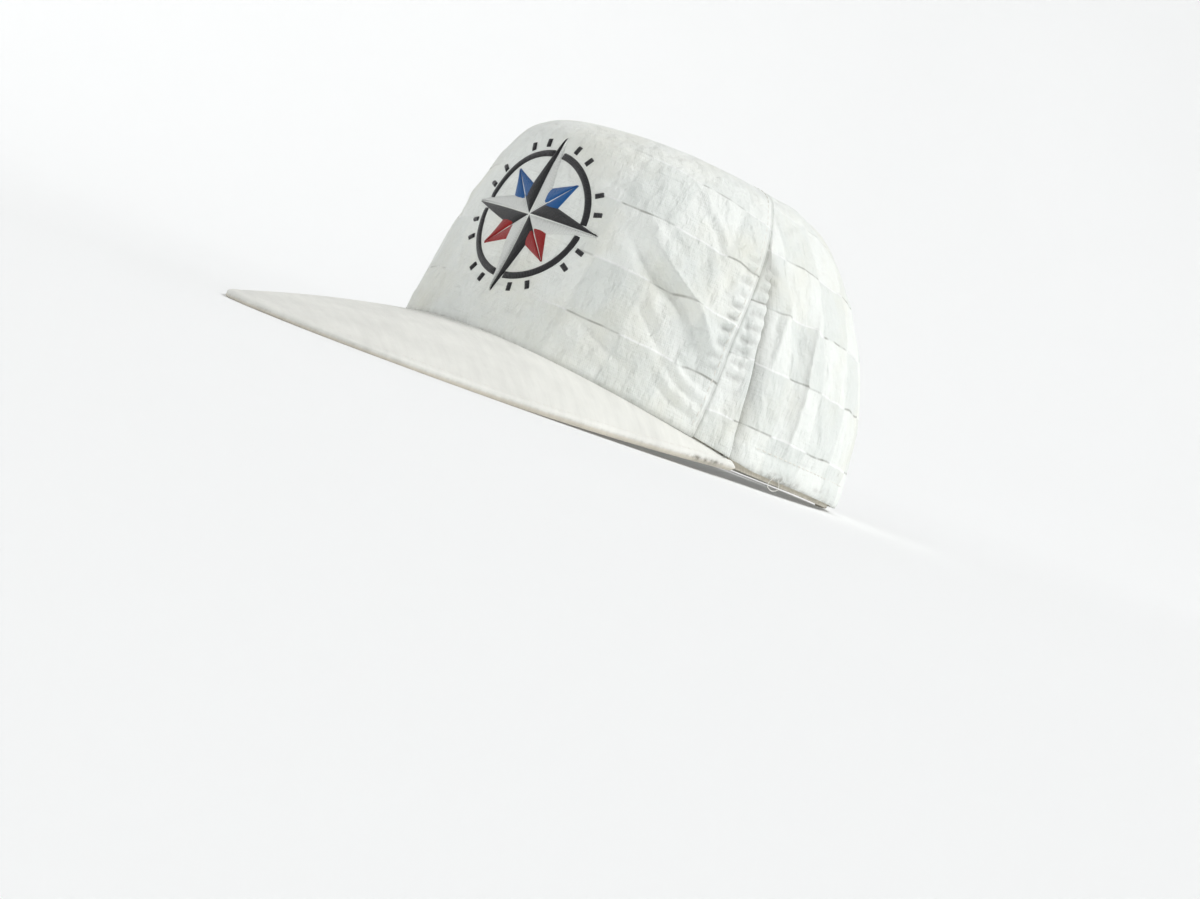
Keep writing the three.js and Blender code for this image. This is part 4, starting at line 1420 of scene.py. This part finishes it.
def near_line(tree, value, pitch, half_width):
    """1 on each multiple of the pitch, falling to 0 at half a line's width"""
    cells = add(tree, "Math DIVIDE", value, pitch)
    off = add(tree, "Math PINGPONG", cells, 0.5)
    return add(tree, "Math MULTIPLY_ADD", off, -pitch / half_width, 1.0, use_clamp=True)


def plain_cotton(colours):
    """Plain-woven cotton drawn tight over the stiff brim: white above, yellowed and streaked with
    handling below."""
    material, tree, shader = new_material(
        "tight_plain_cotton", 0.88, Sheen_Weight=0.15, Sheen_Roughness=0.5, Specular_IOR_Level=0.3
    )
    uv, across, up = cloth_uv(tree)
    under = add(tree, "Attribute", attribute_name="under", out="Fac")
    turned_uv = add(tree, "Mapping", uv, Rotation=(0, 0, math.radians(28)))
    streaks = add(tree, "TexNoise", add(tree, "Mapping", turned_uv, Scale=(0.18, 1.6, 1)), 0.16, 4.0, 0.6)
    blotches = add(tree, "TexNoise", uv, 0.05, 3.0, 0.6)
    stain = add(tree, "Math MULTIPLY", add(tree, "Math ADD", streaks, blotches), 0.5)
    deeper = tuple(c * 0.8 for c in colours.brim_under)
    share = add(tree, "Math MULTIPLY_ADD", stain, 2.6, -0.9, use_clamp=True)
    below = add(tree, "Mix RGBA", share, colours.brim_under, deeper)
    soiled = tuple(c * 0.86 for c in colours.brim_top)
    share = add(tree, "Math MULTIPLY_ADD", stain, 3.2, -1.2, use_clamp=True)
    above = add(tree, "Mix RGBA", share, colours.brim_top, soiled)
    base = add(tree, "Mix RGBA", under, above, below)
    base = dirtied(tree, base, colours.grime, 0.3)
    ripple = add(tree, "TexNoise", add(tree, "Mapping", uv, Scale=(0.5, 1.4, 1)), 0.16, 2.0)
    normal = add(tree, "Bump", 0.5, 0.7 * MM, Height=ripple)
    normal = add(tree, "Bump", 0.5, 0.04 * MM, Height=plain_weave(tree, across, up), Normal=normal)
    return wear(material, shader, Base_Color=base, Normal=normal)


def band_twill(colours):
    """Cream cotton twill, woven with a diagonal rib and darkened by wear"""
    material, tree, shader = new_material(
        "cream_cotton_twill", 0.9, Sheen_Weight=0.15, Sheen_Roughness=0.5, Specular_IOR_Level=0.3
    )
    uv, across, up = cloth_uv(tree)
    # ribs at 1.1 mm, about twice the real twill, so that they show
    diagonal = add(tree, "Math MULTIPLY", add(tree, "Math ADD", across, up), 2 * math.pi / (1.1 * math.sqrt(2)))
    rib = add(tree, "Math SINE", diagonal)
    worn = add(tree, "TexNoise", uv, 0.05, 3.0, 0.6)
    darker = tuple(c * 0.78 for c in colours.band)
    share = add(tree, "Math MULTIPLY_ADD", worn, 2.0, -0.6, use_clamp=True)
    base = add(tree, "Mix RGBA", share, colours.band, darker)
    base = dirtied(tree, base, colours.grime, 0.3)
    return wear(material, shader, Base_Color=base, Normal=add(tree, "Bump", 0.6, 0.08 * MM, Height=rib))


def strap_polyethylene(colours):
    """Moulded polyethylene, white and waxy: light goes a little way in, and the moulded face has a
    fine grain that breaks up its shine"""
    material, tree, shader = new_material(
        "moulded_polyethylene",
        0.42,
        Subsurface_Weight=0.25, Subsurface_Radius=(0.003, 0.003, 0.0025), IOR=1.51,
    )
    where = add(tree, "TexCoord", out="Object")
    cloud = add(tree, "TexNoise", where, 90.0, 3.0)
    base = add(tree, "Mix RGBA", cloud, colours.plastic, tuple(c * 0.93 for c in colours.plastic))
    grain = add(tree, "TexNoise", where, 2600.0, 2.0)
    rough = add(tree, "Math MULTIPLY_ADD", cloud, 0.2, 0.34)
    normal = add(tree, "Bump", 0.5, 0.02 * MM, Height=grain)
    return wear(material, shader, Base_Color=base, Roughness=rough, Normal=normal)


def sewing_thread(colours):
    """Spun polyester sewing thread, its tone and surface broken by a fine fuzz"""
    material, tree, shader = new_material(
        "spun_polyester_thread", 0.6, Sheen_Weight=0.2, Sheen_Roughness=0.4
    )
    where = add(tree, "TexCoord", out="Object")
    fuzz = add(tree, "TexNoise", where, 1800.0, 2.0)
    base = add(tree, "Mix RGBA", fuzz, colours.thread, tuple(c * 0.82 for c in colours.thread))
    return wear(material, shader, Base_Color=base, Normal=add(tree, "Bump", 0.6, 0.08 * MM, Height=fuzz))


def rayon_thread(name, tint, rough):
    """Rayon embroidery thread laid side by side in satin stitch: fine parallel ridges with a silky
    shine along them"""
    material, tree, shader = new_material(
        f"satin_stitched_rayon_{name}", rough, Sheen_Weight=0.3, Sheen_Roughness=0.3
    )
    uv, _, up = cloth_uv(tree)
    # threads at 0.6 mm, a little wider than the real 0.4 mm, so that they show
    wobble = add(tree, "TexNoise", add(tree, "Mapping", uv, Scale=(0.3, 1, 1)), 0.9, 2.0)
    lanes = add(tree, "Math MULTIPLY", add(tree, "Math MULTIPLY_ADD", wobble, 0.35, up), math.pi / 0.6)
    ridge = add(tree, "Math ABSOLUTE", add(tree, "Math SINE", lanes))
    fibre = add(tree, "TexNoise", add(tree, "Mapping", uv, Scale=(0.4, 5.0, 1)), 1.2, 2.0)
    # painted shade: a darker copy of the thread colour in the grooves between the threads
    deep = tuple(c * 0.55 for c in tint)
    base = add(tree, "Mix RGBA", add(tree, "Math POWER", ridge, 0.7), deep, tint)
    # painted sheen: a lighter copy of the thread colour in streaks along the fibres
    bright = tuple(min(1, c * 1.35 + 0.02) for c in tint)
    base = add(tree, "Mix RGBA", add(tree, "Math MULTIPLY", fibre, 0.25), base, bright)
    normal = add(tree, "Bump", 1.0, 0.16 * MM, Height=ridge)
    normal = add(tree, "Bump", 0.5, 0.05 * MM, Height=fibre, Normal=normal)
    return wear(material, shader, Base_Color=base, Normal=normal)


def floor_paint(colours, stage):
    """Matt painted floor that runs up into the wall, with hardly any tone of its own. It glows more
    towards the top, as a backdrop does that has lamps of its own."""
    material, tree, shader = new_material(
        "matt_painted_floor",
        0.95,
        Specular_IOR_Level=0.2, Emission_Color=(1, 1, 1, 1),
    )
    where = add(tree, "TexCoord", out="Object")
    place = add(tree, "SeparateXYZ", where).node.outputs
    # the wall below the key light gets none of its light, and glows more to make up for it
    turn = math.radians(stage.azimuth + KEY_AZIMUTH)
    lean = add(tree, "Math MULTIPLY", place[1], -math.cos(turn))
    lean = add(tree, "Math MULTIPLY_ADD", place[0], math.sin(turn), lean)
    unlit = add(tree, "Math MULTIPLY", lean, 0.18, use_clamp=True)
    high = add(tree, "Math DIVIDE", place[2], 2.0, use_clamp=True)
    glow = add(tree, "Math MULTIPLY_ADD", high, add(tree, "Math ADD", unlit, 0.2), 0.105)
    cloud = add(tree, "TexNoise", where, 3.0, 3.0)
    base = add(tree, "Mix RGBA", cloud, colours.floor, tuple(c * 0.985 for c in colours.floor))
    return wear(material, shader, Base_Color=base, Emission_Strength=glow)


# Operators


class CAP_OT_crown(bpy.types.Operator):
    """Builds the three cloth panels of the crown"""

    bl_idname = "cap.crown"
    bl_label = "Crown Panels"
    bl_options = {"REGISTER", "UNDO"}

    def execute(self, context):
        scene = context.scene
        damask = damask_cotton(scene.cap_colours)
        make_front_panel(scene.cap_sizes, damask)
        sides = (("side_panel_left", 1, (0.05, 0.01, 0.03)), ("side_panel_right", -1, (0.11, 0.07, 0.02)))
        for node, hand, offset in sides:
            make_side_panel(f"{node}_cloth", node, hand, scene.cap_sizes, damask, offset)
        return {"FINISHED"}


class CAP_OT_brim(bpy.types.Operator):
    """Builds the cloth-covered brim"""

    bl_idname = "cap.brim"
    bl_label = "Brim"
    bl_options = {"REGISTER", "UNDO"}

    def execute(self, context):
        scene = context.scene
        make_brim(plain_cotton(scene.cap_colours))
        return {"FINISHED"}


class CAP_OT_sweatband(bpy.types.Operator):
    """Builds the sweatband inside the rim"""

    bl_idname = "cap.sweatband"
    bl_label = "Sweatband"
    bl_options = {"REGISTER", "UNDO"}

    def execute(self, context):
        scene = context.scene
        make_sweatband(band_twill(scene.cap_colours))
        return {"FINISHED"}


class CAP_OT_snap_strap(bpy.types.Operator):
    """Builds both halves of the snap strap"""

    bl_idname = "cap.snap_strap"
    bl_label = "Snap Strap"
    bl_options = {"REGISTER", "UNDO"}

    def execute(self, context):
        scene = context.scene
        plastic = strap_polyethylene(scene.cap_colours)
        make_strap("strap_half_with_holes", "strap_with_holes", True, plastic)
        make_strap("strap_half_with_pegs", "strap_with_pegs", False, plastic)
        return {"FINISHED"}


class CAP_OT_stitching(bpy.types.Operator):
    """Builds the rows of stitches and the loose loop of thread"""

    bl_idname = "cap.stitching"
    bl_label = "Stitching"
    bl_options = {"REGISTER", "UNDO"}

    def execute(self, context):
        scene = context.scene
        thread = sewing_thread(scene.cap_colours)
        seams = [row for hand in (1, -1) for row in seam_rows(hand)]
        hems = [row for hand in (1, -1) for row in hem_rows(hand)]
        stitch_rows("seam_stitches", seams, scene.cap_sizes, thread, "white_cotton")
        stitch_rows("hem_stitches", hems, scene.cap_sizes, thread, "white_cotton", [loose_loop()])
        stitch_rows("brim_stitches", brim_rows(), scene.cap_sizes, thread, "brim_cotton")
        stitch_rows("band_stitches", band_rows(), scene.cap_sizes, thread, "sweatband_cotton")
        return {"FINISHED"}


class CAP_OT_emblem(bpy.types.Operator):
    """Builds the embroidered compass rose on the front"""

    bl_idname = "cap.emblem"
    bl_label = "Emblem"
    bl_options = {"REGISTER", "UNDO"}

    def execute(self, context):
        scene = context.scene
        threads = {
            "black": rayon_thread("black", scene.cap_colours.black, 0.42),
            "white": rayon_thread("white", scene.cap_colours.cotton, 0.5),
            "blue": rayon_thread("blue", scene.cap_colours.blue, 0.4),
            "red": rayon_thread("red", scene.cap_colours.red, 0.4),
        }
        make_emblem(scene.cap_sizes, threads)
        return {"FINISHED"}


class CAP_OT_stage(bpy.types.Operator):
    """Builds the floor, the lights and the camera"""

    bl_idname = "cap.stage"
    bl_label = "Stage"
    bl_options = {"REGISTER", "UNDO"}

    def execute(self, context):
        scene = context.scene
        make_floor(scene.cap_colours, scene.cap_stage)
        make_lights(scene.cap_stage)
        make_camera(scene.cap_stage)
        return {"FINISHED"}


def make_floor(colours, stage):
    """A round floor that runs up into a wall on all sides, so that no edge shows from anywhere"""
    flat, bend, wall = 1.5, 2.5, 2.6
    deselect()
    bpy.ops.mesh.primitive_circle_add(vertices=96, radius=flat, fill_type="TRIFAN")
    floor = bpy.context.object
    floor.name = floor.data.name = "floor"
    bpy.ops.object.mode_set(mode="EDIT")
    bpy.ops.mesh.select_mode(type="EDGE")
    bpy.ops.mesh.select_all(action="SELECT")
    bpy.ops.mesh.region_to_loop()
    radius, height = flat, 0.0
    for step in range(1, 13):
        turn = step / 12 * math.pi / 2
        new_radius, new_height = flat + bend * math.sin(turn), bend * (1 - math.cos(turn))
        rise_ring(new_radius / radius, new_height - height)
        radius, height = new_radius, new_height
    rise_ring(1.0, wall - height)
    bpy.ops.mesh.select_all(action="SELECT")
    bpy.ops.mesh.normals_make_consistent(inside=True)
    bpy.ops.object.mode_set(mode="OBJECT")
    for face in floor.data.polygons:
        face.use_smooth = True
    middle = sum((face.normal.z * face.area for face in floor.data.polygons))
    if middle < 0:
        floor.data.flip_normals()
    floor.data.materials.append(floor_paint(colours, stage))


def rise_ring(widen, rise):
    """Extrudes the selected ring outwards by a factor and upwards by a distance"""
    bpy.ops.mesh.extrude_region_move(TRANSFORM_OT_translate={"value": (0, 0, rise)})
    bpy.ops.transform.resize(value=(widen, widen, 1), center_override=(0, 0, 0))


def toward(azimuth, elevation):
    """The direction to a place round the cap from its front and above the floor, in degrees"""
    a, e = math.radians(azimuth), math.radians(elevation)
    return Vector((math.sin(a) * math.cos(e), -math.cos(a) * math.cos(e), math.sin(e)))


def make_lights(stage):
    """A soft-edged key from behind the wearer's left, and an even sky"""
    way = toward(stage.azimuth + KEY_AZIMUTH, KEY_ELEVATION)
    light = bpy.data.lights.new("key_light", "SUN")
    light.energy, light.angle = stage.key, math.radians(16)
    holder = add_object("key_light", light)
    holder.location = way * 2
    holder.rotation_euler = (-way).to_track_quat("-Z", "Y").to_euler()
    world = bpy.data.worlds.new("even_sky")
    bpy.context.scene.world = world
    world.use_nodes = True
    background = world.node_tree.nodes["Background"]
    background.inputs["Color"].default_value = (1, 1, 1, 1)
    background.inputs["Strength"].default_value = stage.sky


def make_camera(stage):
    """The photograph's viewpoint, raised until it is just above the floor"""
    back = toward(stage.azimuth, stage.elevation)
    target = Vector(stand(np.array([0.0, 0.0, 0.0])).tolist())
    data = bpy.data.cameras.new("camera")
    data.lens, data.sensor_width, data.sensor_fit = stage.lens, SENSOR_WIDE, "HORIZONTAL"
    data.clip_start = 0.01
    # the rim's centre lies here in the photograph, in pixels
    rim_x, rim_y = 617.0, 424.0
    data.shift_x = (IMAGE_WIDE / 2 - rim_x) / IMAGE_WIDE
    data.shift_y = (rim_y - IMAGE_HIGH / 2) / IMAGE_WIDE
    camera = add_object("camera", data)
    camera.location = target + back * stage.distance
    level = (-back).to_track_quat("-Z", "Y").to_matrix().to_4x4()
    turn = Matrix.Rotation(math.radians(stage.roll), 4, "Z")
    camera.rotation_euler = (level @ turn).to_euler()
    bpy.context.scene.camera = camera
    bpy.context.scene.view_settings.view_transform = "Standard"


class CAP_PT_panel(bpy.types.Panel):
    """Lists the cap's settings and its operators"""

    bl_label = "Snapback Cap"
    bl_idname = "CAP_PT_panel"
    bl_space_type = "VIEW_3D"
    bl_region_type = "UI"
    bl_category = "Cap"

    def draw(self, context):
        for operator in OPERATORS:
            self.layout.operator(operator.bl_idname)
        for group in (context.scene.cap_sizes, context.scene.cap_colours, context.scene.cap_stage):
            for key in group.__annotations__:
                self.layout.prop(group, key)


GROUPS = {"cap_sizes": CapSizes, "cap_colours": CapColours, "cap_stage": CapStage}
OPERATORS = (
    CAP_OT_stage,
    CAP_OT_crown,
    CAP_OT_brim,
    CAP_OT_sweatband,
    CAP_OT_snap_strap,
    CAP_OT_stitching,
    CAP_OT_emblem,
)


def register():
    """Adds the classes and their settings"""
    for cls in (*GROUPS.values(), *OPERATORS, CAP_PT_panel):
        bpy.utils.register_class(cls)
    for name, cls in GROUPS.items():
        setattr(bpy.types.Scene, name, PointerProperty(type=cls))


def unregister():
    """Takes them away again"""
    for name in GROUPS:
        delattr(bpy.types.Scene, name)
    for cls in reversed((*GROUPS.values(), *OPERATORS, CAP_PT_panel)):
        bpy.utils.unregister_class(cls)


def main():
    """Builds the stage and every piece"""
    register()
    bpy.ops.cap.stage()
    bpy.ops.cap.crown()
    bpy.ops.cap.brim()
    bpy.ops.cap.sweatband()
    bpy.ops.cap.snap_strap()
    bpy.ops.cap.stitching()
    bpy.ops.cap.emblem()


if __name__ == "__main__":
    main()
